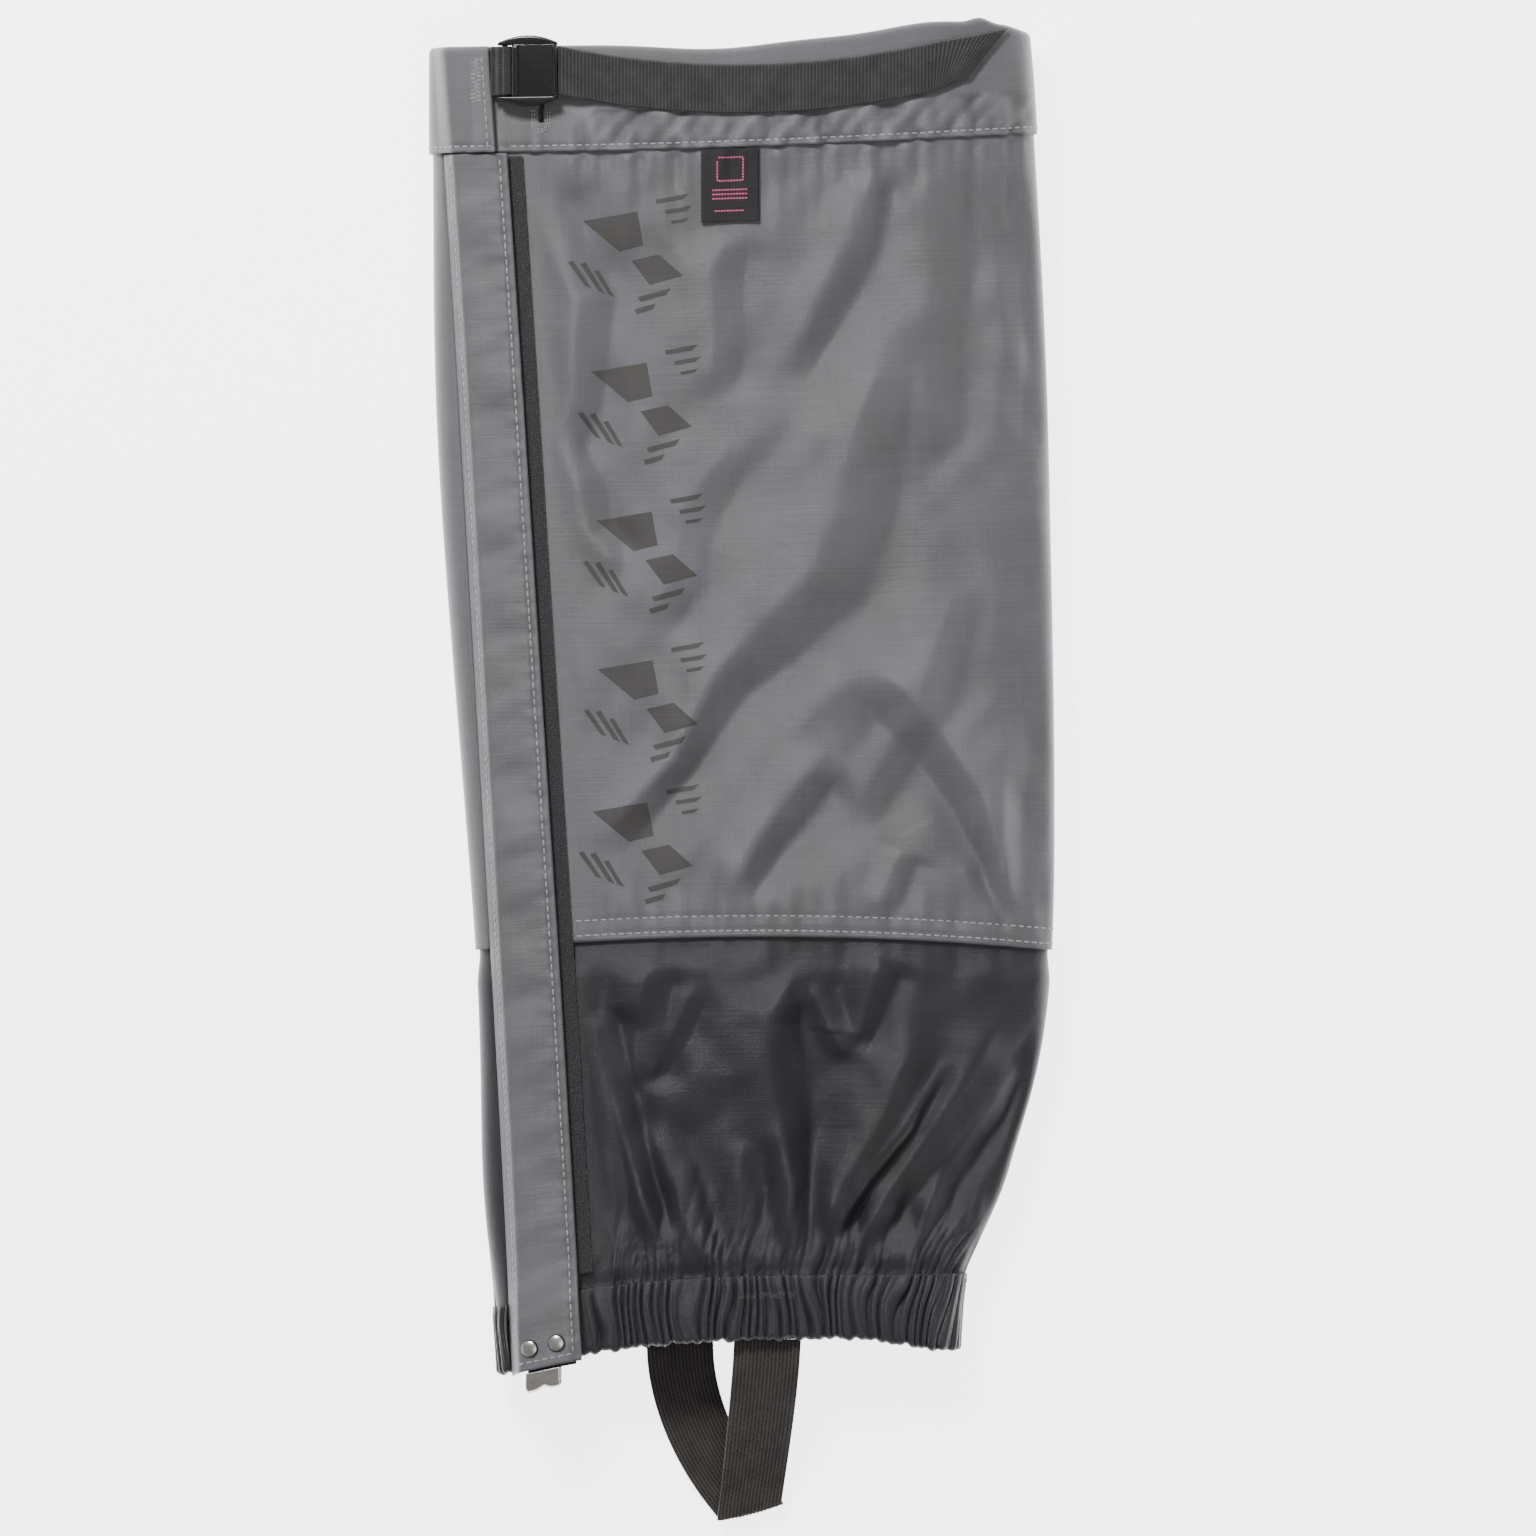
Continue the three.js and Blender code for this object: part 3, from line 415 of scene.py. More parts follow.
PLATE_X = BUCKLE_X + BAR_WRAP + STRAP_THICK / 2 + EDGE_GAP
PLATE_LEVEL = RETURN_LEVEL + STRAP_THICK / 2 + LAYER_GAP
BUCKLE_END_X = PLATE_X + PLATE_LENGTH
TAIL_X = BUCKLE_END_X + EDGE_GAP
INSTEP_T = -(2 * LAYER_GAP + CUFF_LEG + INSTEP_THICK / 2)
INSTEP_FRONT_X = fold_x(HEM) + INSTEP_FRONT_INSET
INSTEP_BACK_X = fold_x(HEM) + INSTEP_BACK_INSET


# ---- folds and puckers of the cloth ----

# Each fold is a line over the front face, x and y, with the fold's half width there. Its left hand
# side, going along the line, is the low one.
UPPER_FOLDS = [
    (2.2, [(52.6, 152, 3), (48.7, 128, 6), (43.4, 105, 9), (39.4, 82, 9.5), (30.5, 60.7, 9),
           (11.4, 42.6, 8), (-3.5, 29.4, 6), (-11.7, 16, 5), (-20, 1.3, 4), (-34, -14, 4), (-50, -34, 3)]),
    (2.2, [(85, -50, 1.4), (80.7, -30, 3), (72.4, -10, 5.5), (60.9, 6.3, 6.5), (49.3, 19.5, 6.5),
           (36, 32.7, 4.5)]),
    (1.7, [(31, 4, 4), (18, -12, 5), (8, -25, 4.5), (-3, -44, 3)]),
    (1.0, [(54, -27, 3), (51, -36, 3), (46, -50, 2.5)]),
    (1.4, [(45, 198, 3), (43.4, 186, 4), (39.4, 172, 5), (28, 151, 5), (16, 128, 3)]),
    (1.2, [(-3, 176, 4), (-5.8, 161, 5), (-5, 140, 5), (-9, 120, 4)]),
    (1.5, [(-70, 196, 4), (-61, 178, 6), (-49, 155, 6), (-52, 122, 5), (-60, 100, 4)]),
    (1.1, [(-62, 116, 4), (-51, 95, 4), (-47, 79, 4), (-36, 66, 3)]),
    (1.1, [(66, 200, 5), (70, 171, 7), (64, 140, 7), (68, 100, 6)]),
    (0.8, [(83, 198, 2.2), (86, 172, 4), (88.6, 138, 3.6), (85.5, 92, 5)]),
    (0.7, [(89, 70, 3), (86, 40, 5), (89, 5, 4), (86, -40, 3)]),
    (0.8, [(2, 110, 4), (-14, 84, 6), (-20, 60, 5), (-30, 44, 4)]),
    (0.9, [(74, 60, 5), (66, 30, 6), (52, 4, 5), (36, -20, 4)]),
]
LOWER_FOLDS = [
    (2.3, [(-47, -78, 3), (-44.8, -88, 4), (-39, -111, 3.5), (-32.4, -136, 2.8), (-24, -160, 2.2)]),
    (1.5, [(-27, -63, 4), (-31, -86, 5), (-33, -107, 2.5)]),
    (0.9, [(-13, -70, 3), (-23, -91, 3), (-30, -104, 2)]),
    (1.5, [(-30, -112, 3.5), (-20, -132, 5), (-15, -150, 4), (-8, -166, 2.4)]),
    (2.4, [(20, -66, 2.5), (13, -84, 5), (14, -99, 7), (16.7, -119, 5), (18, -136, 3), (18, -166, 2.4)]),
    (1.3, [(49, -62, 3.5), (43, -78, 3.5), (37, -94, 2)]),
    (1.0, [(24, -68, 3), (31, -84, 3), (36, -94, 2)]),
    (2.1, [(61, -86, 4.5), (51, -116, 5), (38, -136, 4.5), (26, -156, 2.6)]),
    (1.1, [(68, -95, 1.5), (54.5, -119, 1.6), (41, -136, 1.6), (28, -158, 1.4)]),
    (2.1, [(93, -76, 5), (79, -102, 6), (64, -123, 5), (49, -143, 4), (36, -164, 2.4)]),
    (1.5, [(94, -94, 2.6), (84, -112, 3.5), (69, -133, 3.5), (56, -158, 2.2)]),
    (1.4, [(-56, -64, 2.8), (-50, -94, 2.8), (-45, -119, 2.8), (-39, -148, 2.2)]),
    (1.0, [(3, -120, 3), (2, -140, 4), (0, -164, 2.2)]),
]


def fold_relief(x, y, height, spine):
    """How far one fold lifts the cloth: a ridge on its right hand side and a trough on its left."""
    points = np.array(spine, float)
    best = np.full(x.shape, 1e9)
    side, width, along = np.zeros(x.shape), np.ones(x.shape), np.zeros(x.shape)
    legs = len(points) - 1
    for k in range(legs):
        (ax, ay, aw), (bx, by, bw) = points[k], points[k + 1]
        dx, dy = bx - ax, by - ay
        size = dx * dx + dy * dy
        share = np.clip(((x - ax) * dx + (y - ay) * dy) / size, 0, 1)
        gap = np.hypot(x - ax - share * dx, y - ay - share * dy)
        nearer = gap < best
        best = np.where(nearer, gap, best)
        cross = dx * (y - ay) - dy * (x - ax)
        side = np.where(nearer, cross / math.sqrt(size), side)
        width = np.where(nearer, mix(aw, bw, share), width)
        along = np.where(nearer, (k + share) / legs, along)
    u = np.sign(side) * best / width
    ends = ease(np.minimum(along, 1 - along) / FOLD_END + FOLD_START)
    ramp = u / (1 + np.abs(u) ** CREASE_SHARP) ** (1 / CREASE_SHARP)
    return -height * ends * ramp * np.exp(-FOLD_FADE * np.maximum(np.abs(u) - 1, 0) ** 2)


def waves(s, pitch, seed):
    """Uneven waves along a line, from about -1 to 1."""
    rng = np.random.default_rng(seed)
    total = np.zeros(np.shape(s))
    for share in WAVE_SHARES:
        wave = np.sin(2 * math.pi * s / (pitch * share) + rng.uniform(0, 6.28))
        total = total + wave * rng.uniform(0.3, 0.6)
    return total / WAVE_SCALE


def crumple(x, y):
    """Small soft dents all over the cloth."""
    rng = np.random.default_rng(5)
    total = np.zeros(np.shape(x))
    for pitch in CRUMPLE_PITCHES:
        a = rng.uniform(0, math.pi)
        across = x * math.cos(a) + y * math.sin(a) * 0.6
        turned = x * math.sin(a) - y * math.cos(a)
        drift = np.sin(2 * math.pi * turned / (pitch * 2.3) + rng.uniform(0, 6))
        wave = np.sin(2 * math.pi * across / pitch + 1.8 * drift + rng.uniform(0, 6))
        total = total + wave * pitch / CRUMPLE_SCALE
    return total


def folds_at(x, y, upper):
    """The large folds, above and below the panel seam."""
    total = np.zeros(x.shape)
    for group, there in ((UPPER_FOLDS, upper), (LOWER_FOLDS, ~upper)):
        for height, spine in group:
            total = total + np.where(there, fold_relief(x, y, height * FOLD_DEPTH, spine), 0)
    return total


def puckers(x, v):
    """Small gathers that the cuff's seam and the panel seam draw in."""
    at_cuff = waves(x, 10, 1) * np.exp(-np.maximum(CUFF_EDGE - v, 0) / CUFF_PUCKER_REACH)
    at_seam = waves(x, 12, 2) * np.exp(-np.abs(v - PANEL_EDGE - SEAM_PUCKER_RISE) / SEAM_PUCKER_REACH)
    return PUCKER_HEIGHT * (at_cuff * (v < CUFF_EDGE) + at_seam)


def groove(distance, half=ROW_DENT):
    """How much of its depth the groove along a row of stitches has, at a distance from the row."""
    return np.exp(-((distance / half) ** 2))


def hem_gathers(theta, x, v, front, shown):
    """Creases that run up the leg from the elastic."""
    rooted = pleats(theta, v) * ease((HEM_EDGE + PLEAT_REACH - v) / (PLEAT_REACH - 2)) ** 2
    near = ease((HEM_EDGE + GATHER_REACH - v) / (GATHER_REACH - 4))
    round_ridges = 0.8 * waves(x + 0.25 * v, 15, 9)
    sharp_ridges = 0.9 * (np.abs(waves(x - 0.3 * v, 17, 12)) - 0.4)
    pinch = 0.7 * groove(v - HEM_EDGE - 1, 3)
    return rooted + (round_ridges + sharp_ridges) * near * shown - pinch * front


def relief(theta, v):
    """How far the panels' cloth stands off its plain shape."""
    x, _ = section(theta, v)
    y = v + lean(v, x)
    x, y, v = np.broadcast_arrays(x, y, v)
    sine = np.sin(theta)
    front = ease((sine - 0.02) / 0.3)
    back = ease((-sine - 0.35) / 0.3)
    shown = front * ease((x - free_x(v) - LOOP_SHOWS - 1) / 14)
    off_seam = 0.25 + 0.75 * ease(np.abs(v - PANEL_EDGE - 3) / 13)
    free = ease((CUFF_EDGE - v) / 16) * off_seam * ease((v - HEM_EDGE + 2) / 20)
    face = (folds_at(x, y, v > PANEL_EDGE) + crumple(x, y)) * free
    face = face + puckers(x, v) * ease((CUFF_EDGE - v) / 3)
    face = face - 0.28 * sum(groove(v - row) for row in PANEL_ROWS.values()) * (v > PANEL_EDGE)
    dents = -np.abs(0.9 * crumple(x * 0.8 + 30, y)) * free
    total = face * shown + dents * back + hem_gathers(theta, x, v, front, shown)
    return np.where(np.asarray(theta) < -math.pi, 0, total)


def run_along(*lines):
    """The distance along a line from its first point to each of its points."""
    steps = np.sqrt(sum(np.diff(line) ** 2 for line in lines))
    return np.concatenate([[0], np.cumsum(steps)])


GIRTH_ANGLES = np.linspace(math.pi, -math.pi * 1.4, 1200)
GIRTH = run_along(*section(GIRTH_ANGLES, HEM_EDGE))


def girth_at(theta):
    """Distance round the hem, in mm, from the front fold."""
    return np.interp(-np.asarray(theta), -GIRTH_ANGLES, GIRTH)


def pleats(theta, v):
    """The gathers that the elastic draws in, slanted and uneven. They never dip below the ground."""
    theta = np.asarray(theta)
    s = girth_at(theta)
    height = (v - HEM) / HEM_HEIGHT
    sway = 0.7 * np.sin(height * 5 + 0.09 * s) + 3.2 * height * waves(s, 60, 6)
    phase = math.pi * (s + sway + 2.2 * waves(s, 23, 7)) / PLEAT_PITCH
    ridges = np.abs(np.sin(phase)) ** 0.75
    finer = np.abs(np.sin(phase * GOLDEN + 1.5 * height)) ** 0.8
    outer = 1.25 * ridges + 0.45 * finer - 1.15
    size = PLEAT_HEIGHT * (0.8 + 0.4 * waves(s + 2.5 * height, 13, 8))
    face = np.where(np.sin(theta) > -0.3, outer, np.minimum(outer - 0.6, 0) * 0.7)
    near_flap = ease((section(theta, v)[0] - free_x(v) - 1) / 6)
    under_flap = (np.sin(theta) > 0) & (theta > 0)
    return size * face * np.where(under_flap, near_flap, 1) * np.where(theta < -math.pi - 0.5, 0.3, 1)


# ---- meshes ----


def new_object(name, points, faces, uv=None, tone=None):
    """A mesh in the part's frame, with its UVs in centimetres and a tone for each point, which carries
    painted shade and highlight.
    """
    mesh = bpy.data.meshes.new(name)
    flat = (np.asarray(points, float).reshape(-1, 3) + ORIGIN) * MM
    mesh.from_pydata(flat.tolist(), [], faces)
    mesh.update()
    if uv is not None:
        corner = np.zeros(len(mesh.loops), np.int32)
        mesh.loops.foreach_get("vertex_index", corner)
        layer = mesh.uv_layers.new(name="UVMap")
        layer.data.foreach_set("uv", (np.asarray(uv, float).reshape(-1, 2)[corner] / 10).ravel())
    shade = mesh.attributes.new("tone", "FLOAT", "POINT")
    values = np.ones(len(flat)) if tone is None else np.asarray(tone, float).ravel()
    shade.data.foreach_set("value", values.astype(np.float32))
    mesh.polygons.foreach_set("use_smooth", np.ones(len(mesh.polygons), bool))
    obj = bpy.data.objects.new(name, mesh)
    bpy.context.scene.collection.objects.link(obj)
    return obj


def sheet_faces(rows, cols, gone):
    """The faces of two parallel grids of points, with a wall round the rim and round what is gone."""
    count = rows * cols
    index = np.arange(count).reshape(rows, cols)
    kept = np.ones((rows - 1, cols - 1), bool) if gone is None else ~gone
    corners = (index[:-1, :-1], index[:-1, 1:], index[1:, 1:], index[1:, :-1])
    a, b, c, d = (corner[kept] for corner in corners)
    quads = [np.stack([a, b, c, d], -1), np.stack([a, d, c, b], -1) + count]
    around = np.pad(kept, 1)
    for p, q, beyond in ((a, b, around[:-2, 1:-1]), (b, c, around[1:-1, 2:]),
                         (c, d, around[2:, 1:-1]), (d, a, around[1:-1, :-2])):
        rim = ~beyond[kept]
        p, q = p[rim], q[rim]
        quads.append(np.stack([q, p, p + count, q + count], -1))
    return np.concatenate(quads).tolist()


def slab(name, centre, thick, uv=None, tone=None, raised=0, under=0, gone=None):
    """A sheet of some thickness round the grid of points "centre" (rows, columns). Its edges are rounded.

    The squares that "gone" marks are left open, with a wall round them.
    """
    rows, cols = centre.shape[:2]
    across = np.gradient(centre, axis=1)
    along = np.gradient(centre, axis=0)
    normal = np.cross(across, along)
    normal /= np.linalg.norm(normal, axis=-1, keepdims=True) + 1e-12
    half = np.full((rows, cols), thick / 2)
    steps = np.linalg.norm(np.diff(centre, axis=1), axis=-1).mean(0)
    inset = np.concatenate([[0], np.cumsum(steps)])
    inset = np.minimum(inset, inset[-1] - inset)
    half = half * np.sqrt(np.clip(1 - (1 - np.minimum(inset / (thick / 2), 1)) ** 2, 0.02, 1))
    top = centre + normal * (half + raised)[..., None]
    low = centre - normal * (half + under)[..., None]
    both = None if uv is None else np.stack([uv, uv])
    shade = None if tone is None else np.stack([tone, tone])
    return new_object(name, np.stack([top, low]), sheet_faces(rows, cols, gone), both, shade)


def arc_shares(theta0, theta1, v, count):
    """Shares between two angles that are evenly spaced along the cloth."""
    fine = np.linspace(theta0, theta1, 2400)
    run = run_along(*section(fine, v))
    even = np.interp(np.linspace(0, run[-1], count + 1), run, fine)
    return (even - theta0) / (theta1 - theta0), run[-1]


def round_grid(rows, first, last, count):
    """Angles (rows, columns) between two lines round the tube, and the distance along them."""
    middle = float(np.median(rows))
    shares, girth = arc_shares(float(first(middle)), float(last(middle)), middle, count)
    start, end = first(rows)[:, None], last(rows)[:, None]
    lengths = np.linspace(0, girth, count + 1)
    return start + (end - start) * shares, lengths


def painted_shade_and_highlight(heights, strength, low=0.7, high=1.18):
    """Painted shade and highlight: cloth is painted a little darker in its troughs and lighter on its ridges.
    """
    return np.clip(1 + strength * heights, low, high)


def panel(name, low, high, cuts, offset):
    rows = np.linspace(low, high, cuts + 1)
    theta, lengths = round_grid(rows, start_angle, hinge_angle, ROUND_CUTS)
    v = np.broadcast_to(rows[:, None], theta.shape)
    bump = relief(theta, v)
    centre = wrapped(theta, v, CLOTH - CLOTH_THICK / 2 + offset(v) + bump)
    uv = np.stack(np.broadcast_arrays(lengths[None, :], v), -1)
    # Painted shade in the folds' troughs and painted highlight on their ridges.
    return slab(name, centre, CLOTH_THICK, uv, painted_shade_and_highlight(bump, 0.03))


def band_path(edge, fold_at):
    """Points (height, distance off the tube) of a band: outside, round its fold, and inside."""
    radius = (BAND_OUTER - BAND_INNER) / 2
    up = np.sign(fold_at - edge)
    turn = fold_at - up * (radius + CUFF_LEG / 2)
    steps = max(12, int(abs(turn - edge) * 1.2))
    outside = [(v, BAND_OUTER) for v in np.linspace(edge, turn, steps)]
    bends = np.linspace(0, math.pi, 9)[1:-1]
    bend = [(turn + up * math.sin(a) * radius, BAND_INNER + radius * (1 + math.cos(a))) for a in bends]
    inside = [(v, BAND_INNER) for v in np.linspace(turn, edge + up * EDGE_GAP, steps)]
    return np.array(outside + bend + inside)


def folded_band(name, edge, fold_at, first, last, count, bump, crest, opening=None, inner_painted_shade=1.0):
    """A band folded over an edge of the tube. Its fold and inner layer carry painted shade: their colour is
    scaled by the share given as the final argument.
    """
    path = band_path(edge, fold_at)
    theta, lengths = round_grid(path[:, 0], first, last, count)
    v = np.broadcast_to(path[:, :1], theta.shape)
    inward = ease((BAND_OUTER - path[:, 1:]) / (BAND_OUTER - BAND_INNER))
    heights = bump(theta, v) * (1 - inward)
    centre = wrapped(theta, v, path[:, 1:] + heights)
    centre[..., 1] += crest(centre[..., 0], v)
    gone = None
    if opening:
        x, _ = section(theta, v)
        hole = (inward < 0.01) & (theta > 0) & opening(x, v)
        gone = hole[:-1, :-1] & hole[1:, 1:] & hole[1:, :-1] & hole[:-1, 1:]
    run = run_along(*path.T)
    uv = np.stack(np.broadcast_arrays(lengths[None, :], run[:, None]), -1)
    if fold_at < edge:
        centre, uv, heights = (grid[:, ::-1] for grid in (centre, uv, heights))
    # Painted shade in the pleats' and puckers' troughs, painted highlight on their ridges, and painted shade
    # over the fold and the inner layer.
    tone = painted_shade_and_highlight(heights, 0.3, 0.45, 1.2) * mix(1, inner_painted_shade, ease(inward * 6))
    return slab(name, centre, BAND_THICK, uv, tone, gone=gone)


def strip(left, right, low, high, level, columns, cuts, thick, name, rib=0.0):
    """A strip on the upper face between two lines, with its middle surface at level(x, v)."""
    v = np.linspace(low, high, cuts + 1)[:, None]
    u = np.linspace(0, 1, columns + 1)[None, :]
    x = mix(left(v), right(v), u)
    v = np.broadcast_to(v, x.shape)
    centre = over(x, v, level(x, v))
    ribs = rib * np.cos(2 * math.pi * v / RIB_PITCH)
    # Painted shade between the ribs and painted highlight on them.
    return slab(name, centre, thick, np.stack([x, v], -1), painted_shade_and_highlight(ribs, 2.6, 0.5, 1.4), raised=ribs)


def strap(name, place, length, width, thick, along_cuts, across_cuts=30, cross_ribs=True, pitch=RIB_PITCH,
          rib=RIB_HEIGHT):
    """Webbing: place(s, q) is its middle line's surface, at share s along it and q mm across."""
    s = np.linspace(0, 1, along_cuts + 1)[:, None]
    q = np.linspace(-width / 2, width / 2, across_cuts + 1)[None, :]
    s, q = np.broadcast_arrays(s, q)
    centre = place(s, q)
    phase = s * length / pitch if cross_ribs else q / pitch
    edge = ease((width / 2 - np.abs(q)) / 0.8)
    ribs = rib * np.cos(2 * math.pi * phase) * edge + 0.1 * (1 - edge)
    uv = np.stack([q, s * length], -1)
    # Painted shade between the ribs, and painted highlight on them and on the raised edges.
    return slab(name, centre, thick, uv, painted_shade_and_highlight(ribs, 3.4, 0.42, 1.5), raised=ribs, under=ribs)


def ring_faces(rings, sides, base=0):
    """The faces of a solid whose points are rings of so many sides each, capped at both ends."""
    faces = []
    for k in range(rings - 1):
        low, high = base + k * sides, base + (k + 1) * sides
        for j in range(sides):
            n = (j + 1) % sides
            faces.append((low + j, low + n, high + n, high + j))
    faces.append(tuple(base + j for j in reversed(range(sides))))
    faces.append(tuple(base + (rings - 1) * sides + j for j in range(sides)))
    return faces


# A stitch is a bead: how far along it each ring of points is, and how much of its full width it has there.
BEAD = [(0, 0.25), (0.14, 0.85), (0.5, 1.0), (0.86, 0.85), (1.0, 0.25)]
BEAD_SIDES = 6


def bead(line, normals, run, start, length, width, height):
    """The points of one stitch, from a distance start along its line."""
    spots = start + length * np.array([place for place, _ in BEAD])
    centre = np.stack([np.interp(spots, run, line[:, k]) for k in range(3)], -1)
    up = np.array([np.interp(start + length / 2, run, normals[:, k]) for k in range(3)])
    side = np.cross(centre[-1] - centre[0], up)
    side /= np.linalg.norm(side)
    points = []
    for middle, (_, swell) in zip(centre, BEAD):
        for a in np.linspace(0, 2 * math.pi, BEAD_SIDES, endpoint=False):
            spread = side * math.cos(a) * width / 2 + up * math.sin(a) * height / 2
            sink = up * height * (0.28 - 0.36 * swell)
            points.append(middle + spread * swell - sink)
    return points


def thread(name, runs, length=STITCH_LENGTH, pitch=STITCH_PITCH, width=STITCH_WIDTH, height=STITCH_HEIGHT):
    """Stitches, as one mesh of small beads. Each run is (points, normals) along a line of thread."""
    points, faces = [], []
    for line, normals in runs:
        run = run_along(*line.T)
        for start in np.arange(pitch * 0.2, run[-1] - length, pitch):
            faces += ring_faces(len(BEAD), BEAD_SIDES, len(points))
            points += bead(line, normals, run, start, length, width, height)
    return new_object(name, points, faces, uv=np.zeros((len(points), 2)))


def line_on(surface, s):
    """A thread's line surface(s, t), and which way is out."""
    low, high = surface(s, 0.0), surface(s, 1.0)
    out = high - low
    return low, out / np.linalg.norm(out, axis=1, keepdims=True)


def puck(name, outlines, place, tone=None):
    """A solid through closed outlines (each an array of x, v, t), capped at both ends."""
    rings = [place(*np.asarray(o, float).T) for o in outlines]
    count = len(rings[0])
    points = np.concatenate(rings)
    shade = None if tone is None else np.repeat(tone, count)
    return new_object(name, points, ring_faces(len(rings), count), uv=points[:, :2], tone=shade)


def rounded(outline, low, high, bevel):
    """Outlines of a block with bevelled rims, from level low to high."""
    outline = np.asarray(outline, float)
    middle = outline.mean(0)
    reach = np.abs(outline - middle).max(0)
    layers = []
    for a in (0, 22, 45, 67, 90):
        inset = bevel * (1 - math.sin(math.radians(a)))
        layers.append((low + bevel * (1 - math.cos(math.radians(a))), inset))
    layers += [(high - (z - low), inset) for z, inset in reversed(layers)]
    rings = []
    for z, inset in layers:
        scale = 1 - inset / reach
        flat = middle + (outline - middle) * scale
        rings.append(np.column_stack([flat, np.full(len(flat), z)]))
    return rings


def joined(name, objects):
    """One object out of several that share a material."""
    for o in bpy.context.selected_objects:
        o.select_set(False)
    for o in objects:
        o.select_set(True)
    bpy.context.view_layer.objects.active = objects[0]
    bpy.ops.object.join()
    objects[0].name = name
    objects[0].data.name = name
    return objects[0]


# ---- materials ----


class Finish:
    """A node material, built step by step."""

    def __init__(self, name):
        self.material = bpy.data.materials.new(name)
        self.material.use_nodes = True
        self.nodes = self.material.node_tree.nodes
        self.links = self.material.node_tree.links
        self.shader = self.nodes["Principled BSDF"]

    def set(self, **values):
        for key, value in values.items():
            self.shader.inputs[key.replace("_", " ")].default_value = value

    def add(self, kind, inputs=(), **options):
        node = self.nodes.new("ShaderNode" + kind)
        for key, value in options.items():
            setattr(node, key, value)
        for socket, value in dict(inputs).items():
            self.feed(node.inputs[socket], value)
        return node

    def feed(self, socket, value):
        """Links the socket to another node's, or gives it a plain value."""
        if isinstance(value, bpy.types.NodeSocket):
            self.links.new(value, socket)
        else:
            socket.default_value = value

    def uv(self, x=1.0, y=1.0):
        spot = self.add("UVMap", uv_map="UVMap").outputs[0]
        return self.add("Mapping", {"Vector": spot, "Scale": (x, y, 1)}).outputs[0]

    def noise(self, vector, scale, detail=4.0, roughness=0.55):
        inputs = {"Vector": vector, "Scale": scale, "Detail": detail, "Roughness": roughness}
        return self.add("TexNoise", inputs).outputs["Fac"]

    def mixed(self, share, a, b):
        node = self.add("Mix", {0: share}, data_type="RGBA")
        for socket, value in ((6, a), (7, b)):
            self.feed(node.inputs[socket], (*value, 1))
        return node.outputs[2]

    def math(self, operation, a, b=0.0):
        return self.add("Math", {0: a, 1: b}, operation=operation).outputs[0]

    def span(self, value, low, high, to_low, to_high):
        inputs = {"Value": value, "From Min": low, "From Max": high, "To Min": to_low, "To Max": to_high}
        return self.add("MapRange", inputs).outputs[0]

    def toned(self, colour):
        """The colour, with the painted shade and highlight that the mesh's tone marks: darker in troughs and
        rims, lighter on ridges.
        """
        return self.scaled(colour, self.add("Attribute", attribute_name="tone").outputs["Fac"])

    def scaled(self, colour, by):
        return self.add("VectorMath", {0: colour, 3: by}, operation="SCALE").outputs[0]

    def colour(self, socket):
        self.links.new(socket, self.shader.inputs["Base Color"])

    def rough(self, socket):
        self.links.new(socket, self.shader.inputs["Roughness"])

    def bump(self, height, distance, strength=1.0):
        last = self.shader.inputs["Normal"].links
        inputs = {"Height": height, "Distance": distance, "Strength": strength}
        if last:
            inputs["Normal"] = last[0].from_socket
        made = self.add("Bump", inputs)
        self.links.new(made.outputs[0], self.shader.inputs["Normal"])


def weave_height(finish, threads_across, threads_along):
    """A plain weave: threads over and under each other, counted per centimetre."""
    split = finish.add("SeparateXYZ", {0: finish.uv()})
    a = finish.math("SINE", finish.math("MULTIPLY", split.outputs[0], math.pi * threads_across))
    b = finish.math("SINE", finish.math("MULTIPLY", split.outputs[1], math.pi * threads_along))
    checks = finish.math("MULTIPLY", a, b)
    return finish.math("ABSOLUTE", checks), checks


def cloth_finish(name, dark, light, roughness, weave=34, shine=0.3):
    """Coated cloth: a fine weave, uneven yarns both ways, and faint clouds of a second tone."""
    finish = Finish(name)
    height, checks = weave_height(finish, weave, weave)
    cloud = finish.noise(finish.uv(1, 0.6), 0.35, 6.0, 0.6)
    slub = finish.noise(finish.uv(0.25, 14), 1.0, 3.0, 0.6)
    warp = finish.noise(finish.uv(14, 0.25), 1.0, 3.0, 0.6)
    base = finish.mixed(finish.span(cloud, 0.3, 0.7, 0.0, 1.0), dark, light)
    slub_lines = finish.span(slub, 0.3, 0.7, -0.07, 0.07)
    lines = finish.math("ADD", slub_lines, finish.span(warp, 0.3, 0.7, -0.05, 0.05))
    grain = finish.math("ADD", finish.span(checks, -1, 1, 0.975, 1.025), lines)
    finish.colour(finish.toned(finish.scaled(base, grain)))
    finish.rough(finish.span(cloud, 0.2, 0.8, roughness - 0.05, roughness + 0.06))
    finish.bump(height, 0.00006, 0.7)
    finish.bump(slub, 0.00012, 0.5)
    finish.set(Sheen_Weight=0.05, Sheen_Roughness=0.4, Specular_IOR_Level=shine)
    return finish.material


